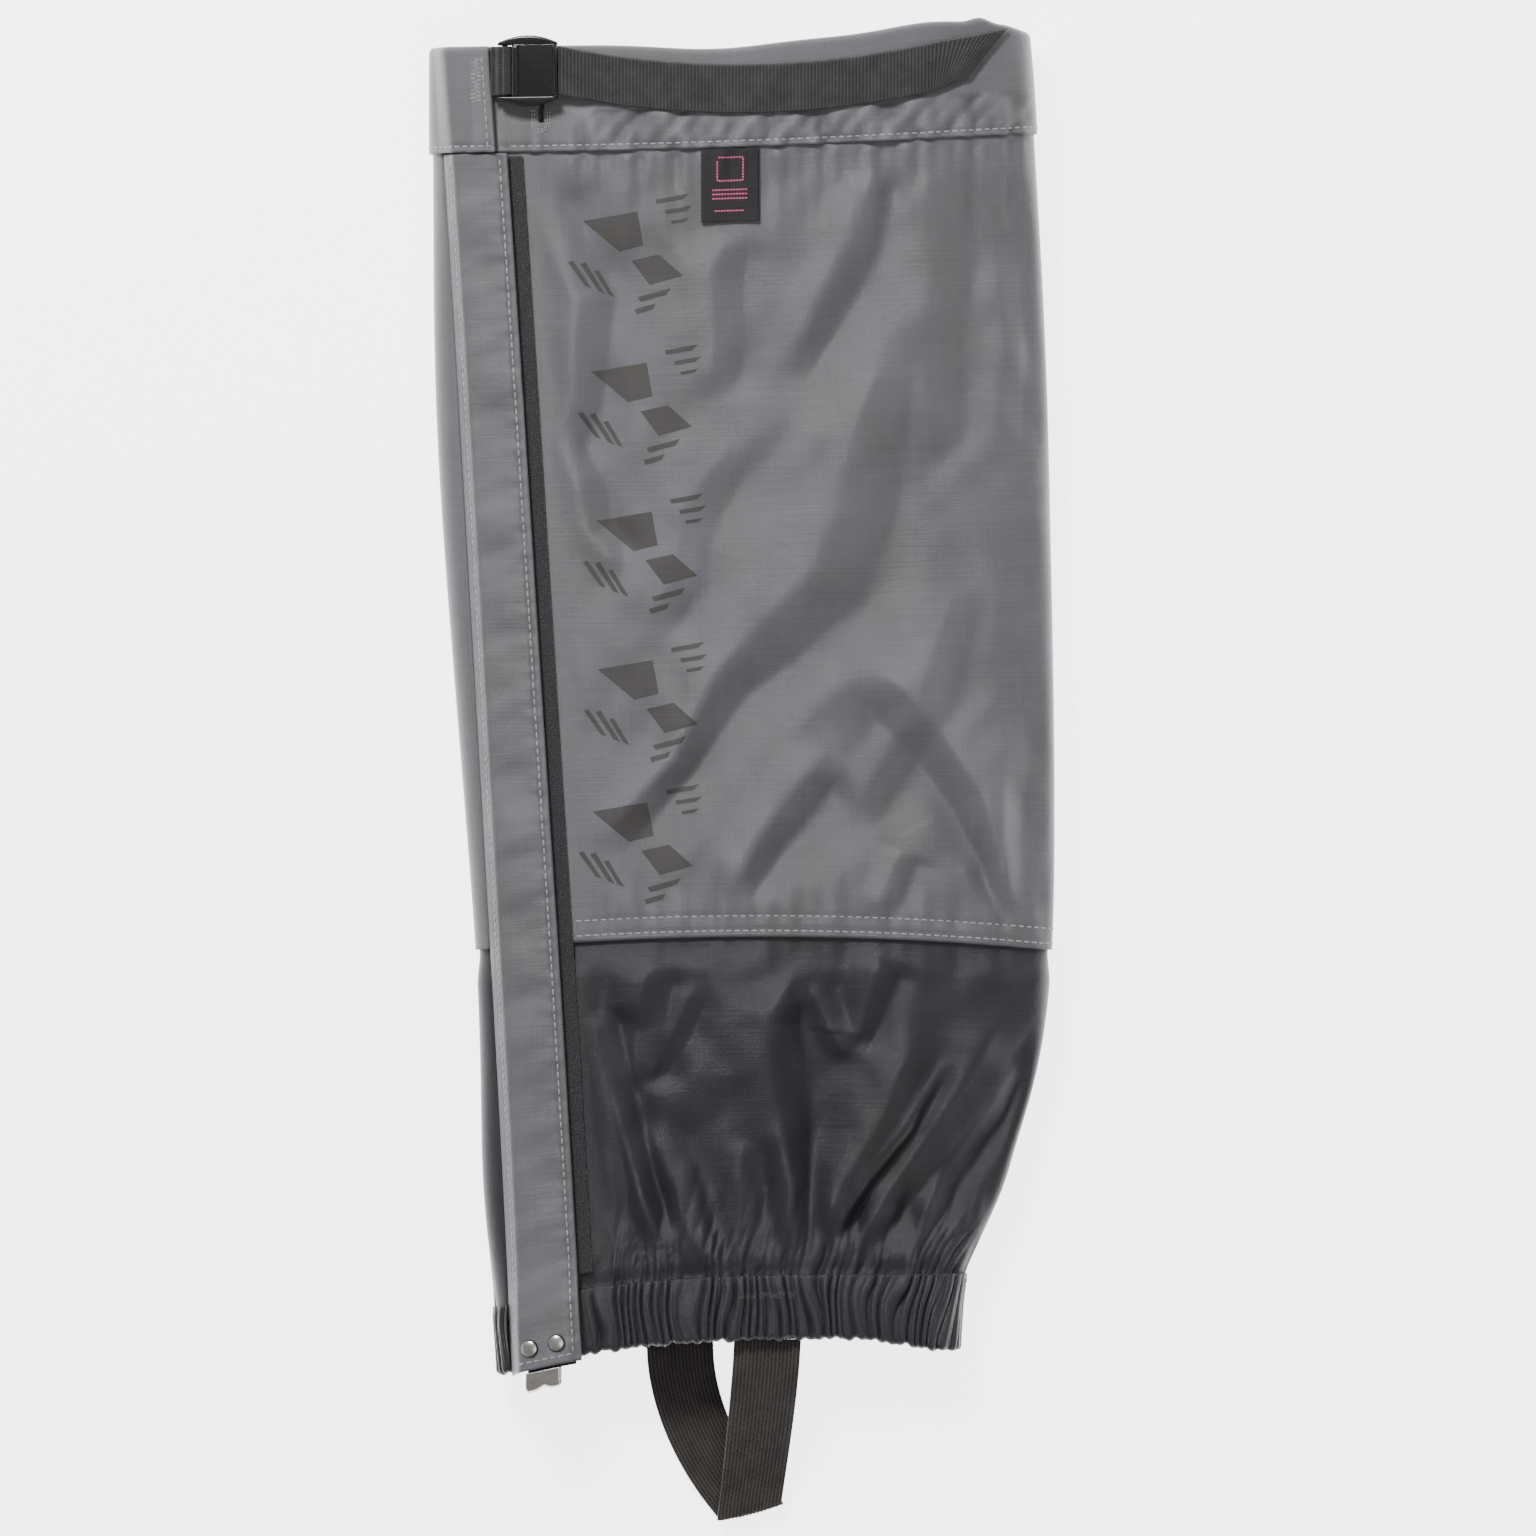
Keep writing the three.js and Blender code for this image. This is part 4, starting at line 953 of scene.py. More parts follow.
def webbing_finish(name, dark, light, cross, pitch=RIB_PITCH):
    """Woven tape: ribs across or along it, with finer yarns between."""
    finish = Finish(name)
    ribs = 10 / pitch
    height, checks = weave_height(finish, ribs * (2 if cross else 1), ribs * (1 if cross else 2))
    wear = finish.noise(finish.uv(), 1.2, 6.0, 0.65)
    fuzz = finish.noise(finish.uv(), 60, 2.0, 0.6)
    base = finish.mixed(finish.span(wear, 0.35, 0.7, 0.0, 1.0), dark, light)
    checked = finish.span(checks, -1, 1, 0.82, 1.12)
    grain = finish.math("ADD", checked, finish.span(fuzz, 0.3, 0.7, -0.12, 0.12))
    finish.colour(finish.toned(finish.scaled(base, grain)))
    finish.rough(finish.span(fuzz, 0.3, 0.7, 0.66, 0.84))
    finish.bump(height, 0.00016, 0.9)
    finish.bump(fuzz, 0.00006, 0.5)
    finish.set(Sheen_Weight=0.1, Sheen_Roughness=0.5, Specular_IOR_Level=0.25)
    return finish.material


def shade_of(colour, share):
    return tuple(c * share for c in colour)


def plastic_finish():
    finish = Finish("moulded_plastic")
    grain = finish.noise(finish.uv(), 40, 3.0, 0.5)
    scuff = finish.noise(finish.uv(1, 4), 2.5, 6.0, 0.7)
    finish.colour(finish.mixed(finish.span(scuff, 0.5, 0.8, 0.0, 1.0), BLACK, shade_of(BLACK, 1.4)))
    finish.rough(finish.span(scuff, 0.3, 0.8, 0.2, 0.27))
    finish.bump(grain, 0.000004, 0.4)
    finish.set(Specular_IOR_Level=0.42)
    return finish.material


def metal_finish():
    finish = Finish("nickel_plate")
    brushed = finish.noise(finish.uv(3, 40), 2.0, 4.0, 0.6)
    wear = finish.noise(finish.uv(), 3.0, 5.0, 0.7)
    worn = finish.mixed(finish.span(wear, 0.35, 0.7, 0.0, 1.0), shade_of(NICKEL, 0.72), NICKEL)
    finish.colour(finish.toned(worn))
    finish.rough(finish.span(brushed, 0.3, 0.7, 0.24, 0.34))
    finish.bump(brushed, 0.000002, 0.3)
    finish.set(Metallic=1.0)
    return finish.material


def fuzzy_finish(name, colour):
    """The hooks and loops of touch tape."""
    finish = Finish(name)
    loops = finish.add("TexVoronoi", {"Vector": finish.uv(), "Scale": 22.0, "Randomness": 0.9})
    fluff = finish.noise(finish.uv(), 18, 5.0, 0.7)
    finish.colour(finish.mixed(finish.span(fluff, 0.3, 0.75, 0.0, 1.0), colour, shade_of(colour, 2.4)))
    finish.bump(loops.outputs["Distance"], 0.0005, 1.0)
    finish.bump(fluff, 0.0003, 0.8)
    finish.set(Roughness=0.95, Sheen_Weight=0.3, Specular_IOR_Level=0.2)
    return finish.material


def thread_finish(name, colour):
    finish = Finish(name)
    spot = finish.add("TexCoord").outputs["Object"]
    ply = finish.noise(spot, 2600, 2.0, 0.5)
    finish.colour(finish.mixed(finish.span(ply, 0.3, 0.7, 0, 1), shade_of(colour, 0.7), colour))
    finish.bump(ply, 0.00008, 0.7)
    finish.set(Roughness=0.55, Sheen_Weight=0.2)
    return finish.material


GREY_CLOTH = cloth_finish("grey_nylon", GREY, GREY_LIGHT, 0.38, shine=0.45)
CHARCOAL_CLOTH = cloth_finish("charcoal_nylon", CHARCOAL, CHARCOAL_LIGHT, 0.38, shine=0.34)
PRINT_CLOTH = cloth_finish("printed_nylon", PRINT, shade_of(PRINT, 1.15), 0.6)
LABEL_CLOTH = cloth_finish("label_weave", LABEL_BLACK, shade_of(LABEL_BLACK, 2), 0.75, weave=24, shine=0.2)
CROSS_WEBBING = webbing_finish("strap_webbing_weave", WEBBING, WEBBING_LIGHT, True)
LONG_WEBBING = webbing_finish("instep_webbing_weave", INSTEP, INSTEP_LIGHT, False, INSTEP_PITCH)
ELASTIC = webbing_finish("elastic_weave", ELASTIC_DARK, ELASTIC_LIGHT, False)
PLASTIC = plastic_finish()
METAL = metal_finish()
TOUCH_TAPE = fuzzy_finish("touch_tape_loops", TAPE_DARK)
THREAD_LIGHT = thread_finish("light_thread", THREAD_GREY)
THREAD_MID = thread_finish("grey_thread", THREAD_GREY_DARK)
THREAD_BLACK = thread_finish("dark_thread", THREAD_DARK)
THREAD_PINK = thread_finish("pink_thread", LABEL_PINK)


def finished(obj, material, replaces=(), body=None):
    """Gives a piece its material and slot, the CAD nodes it stands for, and the body it rides on."""
    obj.data.materials.clear()
    obj.data.materials.append(material)
    if replaces:
        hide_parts(*replaces)
    if body:
        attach(obj, body)
    return obj


def spot(point):
    """A point of the leg's frame in the part's frame, in metres."""
    return tuple(float(c) for c in (np.asarray(point) + ORIGIN) * MM)


# ---- the cloth body ----

upper = panel("upper_panel_cloth", PANEL_EDGE, CUFF_EDGE + TUCK, UPPER_CUTS, lambda v: 0 * v)
finished(upper, GREY_CLOTH, ["upper_panel"], "leg")


def tuck(v):
    """The lower panel's top lies under the upper panel."""
    return -(CLOTH + LAYER_GAP) * ease((v - PANEL_EDGE) / SEAM_OVERLAP + 1)


lower = panel("lower_panel_cloth", HEM_EDGE - TUCK, PANEL_EDGE + SEAM_OVERLAP, LOWER_CUTS, tuck)
finished(lower, CHARCOAL_CLOTH, ["lower_panel"], "leg")


def cuff_bump(theta, v):
    """Puckers at the seam and soft creases below the strap. The cuff lies flat under the strap."""
    x, _ = section(theta, v)
    face = ease((np.sin(theta) - 0.02) / 0.3)
    seam = np.exp(-(v - CUFF_EDGE) / 9) * 0.55 * waves(x, 10, 1)
    free = ease((STRAP_V - STRAP_WIDTH / 2 - v) / 5) * ease((x - BUTTONHOLE_X - 6) / 12)
    soft = (waves(x + 0.7 * v, 22, 3) + 0.5 * waves(x - 0.9 * v, 12, 31)) * free
    stitched = -0.3 * groove(v - CUFF_ROW)
    under_strap = np.abs(v - STRAP_V) < STRAP_WIDTH / 2 + 3
    return np.where(under_strap, np.minimum(seam, 0.1), seam + soft + stitched) * face


def cuff_crest(x, v):
    """The cuff's upper edge isn't straight: it dips in the middle, and stands up near the back."""
    hump = 3.2 * np.exp(-(((x - 62) / 20) ** 2)) + 1.8 * np.exp(-(((x - 77) / 4) ** 2))
    dip = 2.4 * np.exp(-(((x + 10) / 24) ** 2)) + 2.2 * ease((x - 84) / 10)
    return (hump - dip) * ease((v - TOP + 20) / 18)


def in_buttonhole(x, v):
    high = STRAP_V + STRAP_WIDTH / 2
    return (np.abs(x - BUTTONHOLE_X) < BUTTONHOLE_WIDTH * 0.32) & (v > BUTTONHOLE_LOW) & (v < high)


cuff = folded_band("cuff_cloth", CUFF_EDGE, TOP, start_angle, cuff_end, ROUND_CUTS * 2, cuff_bump,
                   cuff_crest, in_buttonhole)
finished(cuff, GREY_CLOTH, ["cuff"], "leg")


def casing_bump(theta, v):
    """The pleats, drawn in along the casing's seam."""
    pinch = groove(v - HEM_EDGE, 2.2)
    return pleats(theta, v) * (1 - 0.5 * pinch) - 0.25 * pinch


def casing_crest(x, v):
    """The pleats make the casing's lower edge uneven, and its back end hangs lower."""
    droop = CASING_DROOP * ease((x - 32) / 40)
    return -(0.8 + 0.6 * waves(x, 5.5, 41) + droop) * ease((HEM + 12 - v) / 12)


# The casing's fold and inner layer carry painted shade.
hem = folded_band("ankle_casing", HEM_EDGE, HEM, start_angle, hinge_angle, CASING_CUTS, casing_bump,
                  casing_crest, inner_painted_shade=CASING_PAINTED_SHADE)
finished(hem, CHARCOAL_CLOTH, ["ankle_hem"], "leg")


def ring_angle(s, first, end, v):
    """The angle at share s of the way round the tube from one angle to another, at height v."""
    shares, _ = arc_shares(first, end, v, RING_CUTS)
    return np.interp(s, np.linspace(0, 1, RING_CUTS + 1), first + (end - first) * shares)


ELASTIC_V = mix(HEM + CUFF_LEG * 2, HEM_EDGE - TUCK, 0.5) + EDGE_GAP


def elastic_place(s, q):
    theta = ring_angle(s, float(start_angle(ELASTIC_V)), float(hinge_angle(ELASTIC_V)), ELASTIC_V)
    return wrapped(theta, ELASTIC_V + q, CLOTH / 2 - 0.3)


elastic = strap("ankle_elastic_band", elastic_place, RING_RUN, ELASTIC_WIDTH, 0.6, 420, cross_ribs=False,
                rib=0.05)
finished(elastic, ELASTIC, ["ankle_elastic"], "leg")


# ---- the cuff's strap and buckle ----


def station_strap(stations):
    """place(s, q) for webbing through stations (x, v, t) on the upper face."""

    def place(s, q):
        x, v, t = np.moveaxis(along(stations, s), -1, 0)
        return over(x, v + q, t)

    return place


def turn_stations(x, level, side, steps=8):
    """Half a turn of webbing round a crossbar of the buckle."""
    angles = np.linspace(0, math.pi, steps + 1)
    return [(x + side * BAR_WRAP * math.sin(a), BUCKLE_V, level - BAR_WRAP * math.cos(a)) for a in angles]


def tail_place(s, q):
    """The free end lies over the cuff in a slight sag, and is cut at a slant."""
    x = TAIL_X + s * TAIL_LENGTH + TAIL_SLANT * q / STRAP_WIDTH * ease((s - 0.86) / 0.14)
    level = mix(RETURN_LEVEL, FEED_LEVEL, ease((x - TAIL_X) / STRAP_WIDTH))
    v = BUCKLE_V - TAIL_DIP * 4 * s * (1 - s)
    wave = 0.45 * np.sin(s * 9 + 0.5) * ease(s / 0.15)
    return over(x, v + q, level + 0.5 * ease((s - 0.1) / 0.2) + wave * 0.6)


tail = strap("strap_tail_webbing", tail_place, TAIL_LENGTH, STRAP_WIDTH, STRAP_THICK, 700)
finished(tail, CROSS_WEBBING, ["strap_tail"])

tab_start = hinge_x(STRAP_V) + UNDERLAP
tab_run = [(mix(tab_start, BUCKLE_X - 2, u), mix(STRAP_V - 1, BUCKLE_V, u), TAB_LEVEL) for u in (0, 0.5, 1)]
tab_run += turn_stations(BUCKLE_X, ANCHOR_LEVEL, 1)
tab_run += [(BUCKLE_X - TAB_RETURN, BUCKLE_V, ANCHOR_LEVEL + BAR_WRAP)]
tab = strap("buckle_tab_webbing", station_strap(tab_run), TAB_RUN, STRAP_WIDTH, STRAP_THICK, 200)
finished(tab, CROSS_WEBBING, ["buckle_tab"], "leg")

feed = [(BUTTONHOLE_X - EDGE_GAP * 2, BUCKLE_V, FEED_LEVEL + EDGE_GAP),
        (mix(BUTTONHOLE_X, CENTRE_BAR_X, 0.5), BUCKLE_V, FEED_LEVEL)]
feed += turn_stations(CENTRE_BAR_X, CENTRE_BAR_LEVEL, -1)
feed += [(mix(CENTRE_BAR_X, BUCKLE_END_X, u), BUCKLE_V, RETURN_LEVEL) for u in (0.35, 0.7, 1)]
fed = strap("strap_feed_webbing", station_strap(feed), FEED_RUN, STRAP_WIDTH, STRAP_THICK, 230)
finished(fed, CROSS_WEBBING, ["strap_in_buckle"])


RISE_FROM = 0.985


def cuff_strap_place(s, q):
    """Round the leg inside the cuff, and at the very end up through the buttonhole."""
    end = float(angle_at(BUTTONHOLE_X + BUTTONHOLE_WIDTH, STRAP_V))
    theta = ring_angle(s / RISE_FROM, -math.pi - 0.24, end, STRAP_V)
    rise = ease((s - RISE_FROM) / (1 - RISE_FROM))
    lower_x, _ = section(theta, STRAP_V)
    x = lower_x - rise * (BUTTONHOLE_WIDTH + EDGE_GAP)
    level = mix(CLOTH / 2, FEED_LEVEL - LAYER_GAP, rise)
    round_part = wrapped(theta, STRAP_V + q, level)
    rising = over(x, STRAP_V + q, level)
    return np.where((rise > 0)[..., None], rising, round_part)


inner_strap = strap("cuff_strap_webbing", cuff_strap_place, RING_RUN, STRAP_WIDTH, STRAP_THICK * 0.8, 900,
                    rib=0.05)
finished(inner_strap, CROSS_WEBBING, ["cuff_strap"], "leg")


def bar(x, level):
    """A round crossbar of the buckle."""
    width = STRAP_WIDTH + RAIL * 2
    a = np.linspace(0, 2 * math.pi, 20, endpoint=False)
    across, up = x + BAR_RADIUS * np.cos(a), level + BAR_RADIUS * np.sin(a)
    spots = np.linspace(BUCKLE_V - width / 2, BUCKLE_V + width / 2, 24)
    return puck("bar", [np.column_stack([across, np.full(len(a), v), up]) for v in spots], over)


def rail_outline(side):
    """The lens shape of a side rail, seen from above."""
    inner = STRAP_WIDTH / 2 + LAYER_GAP
    left = BUCKLE_X - BAR_RADIUS * 2
    s = np.linspace(0, 1, 28)
    bulge = inner + RAIL / 2 + 2 * RAIL_BULGE * s * (1 - s)
    outer = np.column_stack([mix(BUCKLE_END_X, left, s), bulge])
    back = np.column_stack([np.linspace(left, BUCKLE_END_X, 28), np.full(28, inner)])
    outline = np.concatenate([outer, back])
    outline[:, 1] = BUCKLE_V + side * outline[:, 1]
    return outline if side > 0 else outline[::-1]


def box_outline(x0, x1, v0, v1, corner, steps=5):
    """A rectangle with round corners."""
    points = []
    for cx, cv, a0 in ((x1 - corner, v1 - corner, 0), (x0 + corner, v1 - corner, 90),
                       (x0 + corner, v0 + corner, 180), (x1 - corner, v0 + corner, 270)):
        for a in np.radians(a0 + np.linspace(0, 90, steps)):
            points.append((cx + corner * math.cos(a), cv + corner * math.sin(a)))
    return np.array(points)


def ladder_buckle():
    """Two crossbars between side rails, with a plate over the second one and a ridge at each of its ends."""
    low = CENTRE_BAR_LEVEL - BAR_RADIUS
    high = PLATE_LEVEL + PLATE_THICK
    parts = [bar(BUCKLE_X, ANCHOR_LEVEL), bar(CENTRE_BAR_X, CENTRE_BAR_LEVEL)]
    for side in (1, -1):
        parts.append(puck("rail", rounded(rail_outline(side), low, high, 0.8), over))
    half = STRAP_WIDTH / 2 + LAYER_GAP + RAIL / 4
    plate = box_outline(PLATE_X, BUCKLE_END_X, BUCKLE_V - half, BUCKLE_V + half, 0.6)
    parts.append(puck("plate", rounded(plate, PLATE_LEVEL, high - 0.25, 0.45), over))
    for x, width, rise in ((PLATE_X + 1.2, 1.9, 0.45), (BUCKLE_END_X - 1.0, 1.3, 0.2)):
        ridge = box_outline(x - width / 2, x + width / 2, BUCKLE_V - half + 0.6, BUCKLE_V + half - 0.6, 0.3)
        parts.append(puck("ridge", rounded(ridge, high - 0.8, high + rise, 0.6), over))
    return joined("ladder_buckle_body", parts)


finished(ladder_buckle(), PLASTIC, ["ladder_buckle"], "buckle")


# ---- front flap ----


def flap_bump(x, v):
    """The flap is softly uneven, grooved along its stitches, and bulges above the hem."""
    u = (x - hinge_x(v)) / flap_width(v)
    middle = np.sin(np.clip(u, 0, 1) * math.pi)
    soft = 0.6 * waves(v + 6 * u, 40, 21) + 0.25 * waves(v - 8 * u, 15, 22)
    edge = 0.3 * waves(v, 8, 23) * np.exp(-np.abs(u - 0.88) / 0.1)
    free, root = x - free_x(v) + EDGE_STITCH, x - hinge_x(v) - EDGE_STITCH
    rows = groove(free, FLAP_ROW_DENT) + groove(root, FLAP_ROW_DENT)
    bulge = 0.65 * groove(v - HEM_EDGE - 14, 9) * middle
    return soft * middle + edge - 0.4 * rows * ease(u / 0.1) + bulge


def flap_level(x, v):
    return lift(x, v) + CLOTH / 2 + flap_bump(x, v)


def flap_sheet():
    v = np.linspace(FLAP_END, FLAP_TOP, 500)[:, None]
    u = np.linspace(0, 1, 60)[None, :]
    x = mix(hinge_x(v) - EDGE_GAP, free_x(v), u)
    v = np.broadcast_to(v, x.shape)
    bump = flap_bump(x, v)
    uv = np.stack([x, v], -1)
    # Painted shade in the flap's troughs and along its stitch grooves, painted highlight on its swells.
    return slab("front_flap_cloth", over(x, v, flap_level(x, v)), CLOTH * 0.9, uv, painted_shade_and_highlight(bump, 0.2))


flap = finished(flap_sheet(), GREY_CLOTH, ["front_flap"])


def rivet_places():
    v = FLAP_END + RIVET_ABOVE_EDGE
    middle = (hinge_x(v) + free_x(v)) / 2
    return [(middle + side * RIVET_SPACING / 2, v) for side in (-1, 1)]


def rivet_profile():
    """Stations (radius, height) of a rivet: its clinched foot, its shank, and its domed cap."""
    under = -LAYER_GAP * 3 - TAPE - HOOK_SHEET
    seat = CLOTH + EDGE_GAP - 0.2
    foot, rim = RIVET_SHANK * 1.7, 0.25
    profile = [(RIVET_TIP, under - HOOK_SHEET), (RIVET_SHANK * 1.5, under - HOOK_SHEET), (foot, under - 0.5),
               (foot, under), (RIVET_SHANK, under), (RIVET_SHANK, seat), (RIVET_CAP * 0.9, seat),
               (RIVET_CAP, seat + 0.1)]
    for a in np.radians(np.linspace(0, 86, 16)):
        profile.append((RIVET_CAP * math.cos(a), seat + rim + (RIVET_DOME - rim) * math.sin(a)))
    return profile + [(RIVET_TIP, seat + RIVET_DOME)]


def rivet(name, x, v):
    """The rivet at (x, v), square to the flap. Its cap's rim is painted dark: painted shade."""
    profile = rivet_profile()
    a = np.linspace(0, 2 * math.pi, 36, endpoint=False)
    base = float(lift(x, v)) + flap_bump(x, v)
    outlines = []
    for r, t in profile:
        outlines.append(np.column_stack([x + r * np.cos(a), v + r * np.sin(a), np.full(len(a), base + t)]))
    foot, head = over(x, v, base), over(x, v, base + 1)
    up = head - foot
    side = np.cross(up, (0, 1, 0))
    side /= np.linalg.norm(side)
    ahead = np.cross(side, up)

    def place(px, pv, t):
        return foot - (px - x)[:, None] * side - (pv - v)[:, None] * ahead + (t - base)[:, None] * up

    # Painted shade on the cap's rim.
    shade = [1.0 if r < RIVET_CAP * 0.86 else 0.16 for r, _ in profile]
    return puck(name, outlines, place, shade)


for k, (x, v) in enumerate(rivet_places()):
    finished(rivet(f"rivet_{k + 1}_cap", x, v), METAL, [f"rivet_{k + 1}"], "flap")


def rivets_middle():
    (ax, _), (bx, _) = rivet_places()
    return (ax + bx) / 2


def under_flap_level(x, v):
    return lift(x, v) - LAYER_GAP - TAPE / 2


def patch():
    left = rivets_middle() + PATCH_SHIFT - PATCH_WIDTH / 2
    low = FLAP_END - EDGE_GAP * 3
    return strip(lambda v: left + 0 * v, lambda v: left + PATCH_WIDTH + 0 * v, low, low + PATCH_HEIGHT,
                 under_flap_level, 30, 60, TAPE * 0.9, "hook_patch_webbing", RIB_HEIGHT)


finished(patch(), CROSS_WEBBING, ["hook_patch"], "flap")


def hook_profile():
    """Stations (down the leg, out of the cloth) of the lace hook's metal, from the rivets to its lip."""
    top = -LAYER_GAP * 2 - TAPE - HOOK_SHEET / 2
    radius = HOOK_THROAT / 2 + HOOK_SHEET / 2
    bend = -HOOK_REACH + HOOK_THROAT / 2
    points = [(mix(RIVET_ABOVE_EDGE + 3, bend, s), top) for s in np.linspace(0, 1, 16)[:-1]]
    for a in np.radians(np.linspace(-90, -270, 17)):
        points.append((bend + radius * math.cos(a), top + radius + radius * math.sin(a)))
    points += [(mix(bend, -HOOK_SHEET, s), top + 2 * radius) for s in np.linspace(0, 1, 10)[1:]]
    return np.array(points)


def lace_hook():
    """Sheet metal bent back on itself, with a cusp in the middle of its turn and rounded corners."""
    profile = hook_profile()
    q = np.linspace(-HOOK_WIDTH / 2, HOOK_WIDTH / 2, 41)[None, :]
    down, out = profile[:, :1], profile[:, 1:]
    in_turn = np.exp(-(((down + HOOK_REACH) / 1.6) ** 2))
    cusp = HOOK_CUSP * 0.6 * np.exp(-((q / 1.5) ** 2)) * in_turn
    corner = 0.35 * ease((np.abs(q) - HOOK_WIDTH / 2 + 0.9) / 0.9) * in_turn
    x, v = rivets_middle() + q + 0 * down, FLAP_END + down + cusp + corner
    return slab("lace_hook_sheet", over(x, v, lift(x, v) + out), HOOK_SHEET, np.stack([x, v], -1))


finished(lace_hook(), METAL, ["lace_hook"], "flap")

hook_tape = strip(lambda v: under_x(v) + 1, lambda v: under_x(v) + 1 + HOOK_TAPE_WIDTH, HEM_EDGE + TAPE_INSET,
                  FLAP_TOP - 2, under_flap_level, 24, 500, TAPE * 0.8, "hook_tape_strip")
finished(hook_tape, TOUCH_TAPE, ["hook_tape"], "flap")


def loop_level(x, v):
    fuzz = 0.12 * np.random.default_rng(3).uniform(-1, 1, np.shape(x))
    return OUTER_LEG + TAPE / 2 + fuzz


loop_tape = strip(lambda v: under_x(v) + 0.5, lambda v: free_x(v) + LOOP_SHOWS, HEM_EDGE + TAPE_INSET,
                  FLAP_TOP - 1, loop_level, 60, 700, TAPE * 0.7, "loop_tape_strip")
finished(loop_tape, TOUCH_TAPE, ["loop_tape"], "leg")


# ---- stitching ----


def skin(x, v, t):
    """A point on the panels as they lie, folds and all."""
    theta = angle_at(x, v)
    return on(theta, v, t + relief(theta, v))


def flap_line(x_of, low, high, above=0.03, count=600):
    v = np.linspace(low, high, count)
    face = CLOTH * 0.45 + above
    return line_on(lambda v, t: over(x_of(v), v, flap_level(x_of(v), v) + face + t), v)


def flap_stitches():
    low = FLAP_END + EDGE_STITCH
    root = flap_line(lambda v: hinge_x(v) + EDGE_STITCH, low, FLAP_TOP - 1, 0.34)
    free = flap_line(lambda v: free_x(v) - EDGE_STITCH, low, FLAP_TOP - 1)
    u = np.linspace(0, 1, 60)
    across = mix(hinge_x(low) + EDGE_STITCH, free_x(low) - EDGE_STITCH, u)
    foot = line_on(lambda u, t: over(across, low, flap_level(across, low) + CLOTH * 0.45 + t), u)
    return thread("flap_stitching", [root, free, foot])


stitched_flap = finished(flap_stitches(), THREAD_LIGHT, ["flap_thread"])


def round_line(v, level, first, last, bump):
    theta = np.linspace(first(v), last(v), 900)
    return line_on(lambda a, t: wrapped(a, v, level + 0.03 + t + bump(a, v)), theta)


def beside_cuff_end(v):
    return angle_at(free_x(v) + EDGE_GAP, v)


def beside_tape(v):
    return angle_at(free_x(v) + LOOP_SHOWS + EDGE_GAP * 2, v)


def past_fold(v):
    return -0.12 + 0 * v


def front_fold(v):
    return 0.12 - math.pi + 0 * v


cuff_line = round_line(CUFF_ROW, CUFF_SURFACE, beside_cuff_end, past_fold, cuff_bump)
finished(thread("cuff_stitching", [cuff_line]), THREAD_LIGHT, ["cuff_seam_thread"], "leg")
end_line = round_line(CUFF_ROW, CUFF_SURFACE, front_fold, cuff_end, cuff_bump)
finished(thread("cuff_end_stitching", [end_line]), THREAD_LIGHT, ["cuff_seam_thread_end"], "leg")


def cuff_end_line():
    v = np.linspace(CUFF_EDGE + 1, TOP - 3, 200)
    theta = angle_at(free_x(v) - LOOP_SHOWS - 1.2, v) - 2 * math.pi
    return line_on(lambda v, t: wrapped(theta, v, CUFF_SURFACE + 0.05 + t), v)


end_edge = thread("cuff_end_edge_stitching", [cuff_end_line()])
finished(end_edge, THREAD_MID, (), "leg")
for name, height in PANEL_ROWS.items():
    row = thread(f"seam_stitching_{name}", [round_line(height, CLOTH, beside_tape, past_fold, relief)])
    finished(row, THREAD_LIGHT, [f"panel_seam_thread_{name}"], "leg")


def zigzag(name, x0, x1, v0, v1, turns, level, up_the_leg=True):
    """A bartack: thread laid to and fro while it goes up the leg, or else across it."""
    s = np.linspace(0, 1, turns * 2 + 1)
    fine = np.linspace(0, 1, turns * 24)
    saw = np.interp(fine, s, np.arange(len(s)) % 2)
    across, up = (saw, fine) if up_the_leg else (fine, saw)
    x, v = mix(x0, x1, across), mix(v0, v1, up)
    line, out = line_on(lambda u, t: over(x, v, level(x, v) + t), fine)
    return thread(name, [(line, out)], length=1.9, pitch=2.0, width=0.36, height=0.3)


tack_x = hinge_x(STRAP_V) + UNDERLAP + TACK_INSET
tack = zigzag("tab_bartack_thread", tack_x - TACK_HALF, tack_x + TACK_HALF, STRAP_V - STRAP_WIDTH / 2,
              STRAP_V + STRAP_WIDTH * 0.4, 11, lambda x, v: lift(x, v) + CUFF_SURFACE)
finished(tack, THREAD_MID, ["tab_bartack"], "leg")

# The instep strap's bartack lies across the casing.
INSTEP_TACK_V = HEM_EDGE - BARTACK_INSET - BARTACK_HEIGHT / 2


def casing_level(x, v):
    return CUFF_SURFACE + pleats(angle_at(x, v), v)


heel_tack = zigzag("instep_bartack_thread", INSTEP_FRONT_X - BARTACK_WIDTH / 2,
                   INSTEP_FRONT_X + BARTACK_WIDTH / 2, INSTEP_TACK_V - BARTACK_HEIGHT / 2,
                   INSTEP_TACK_V + BARTACK_HEIGHT / 2, 26, casing_level, up_the_leg=False)
finished(heel_tack, THREAD_BLACK, ["instep_bartack"], "leg")


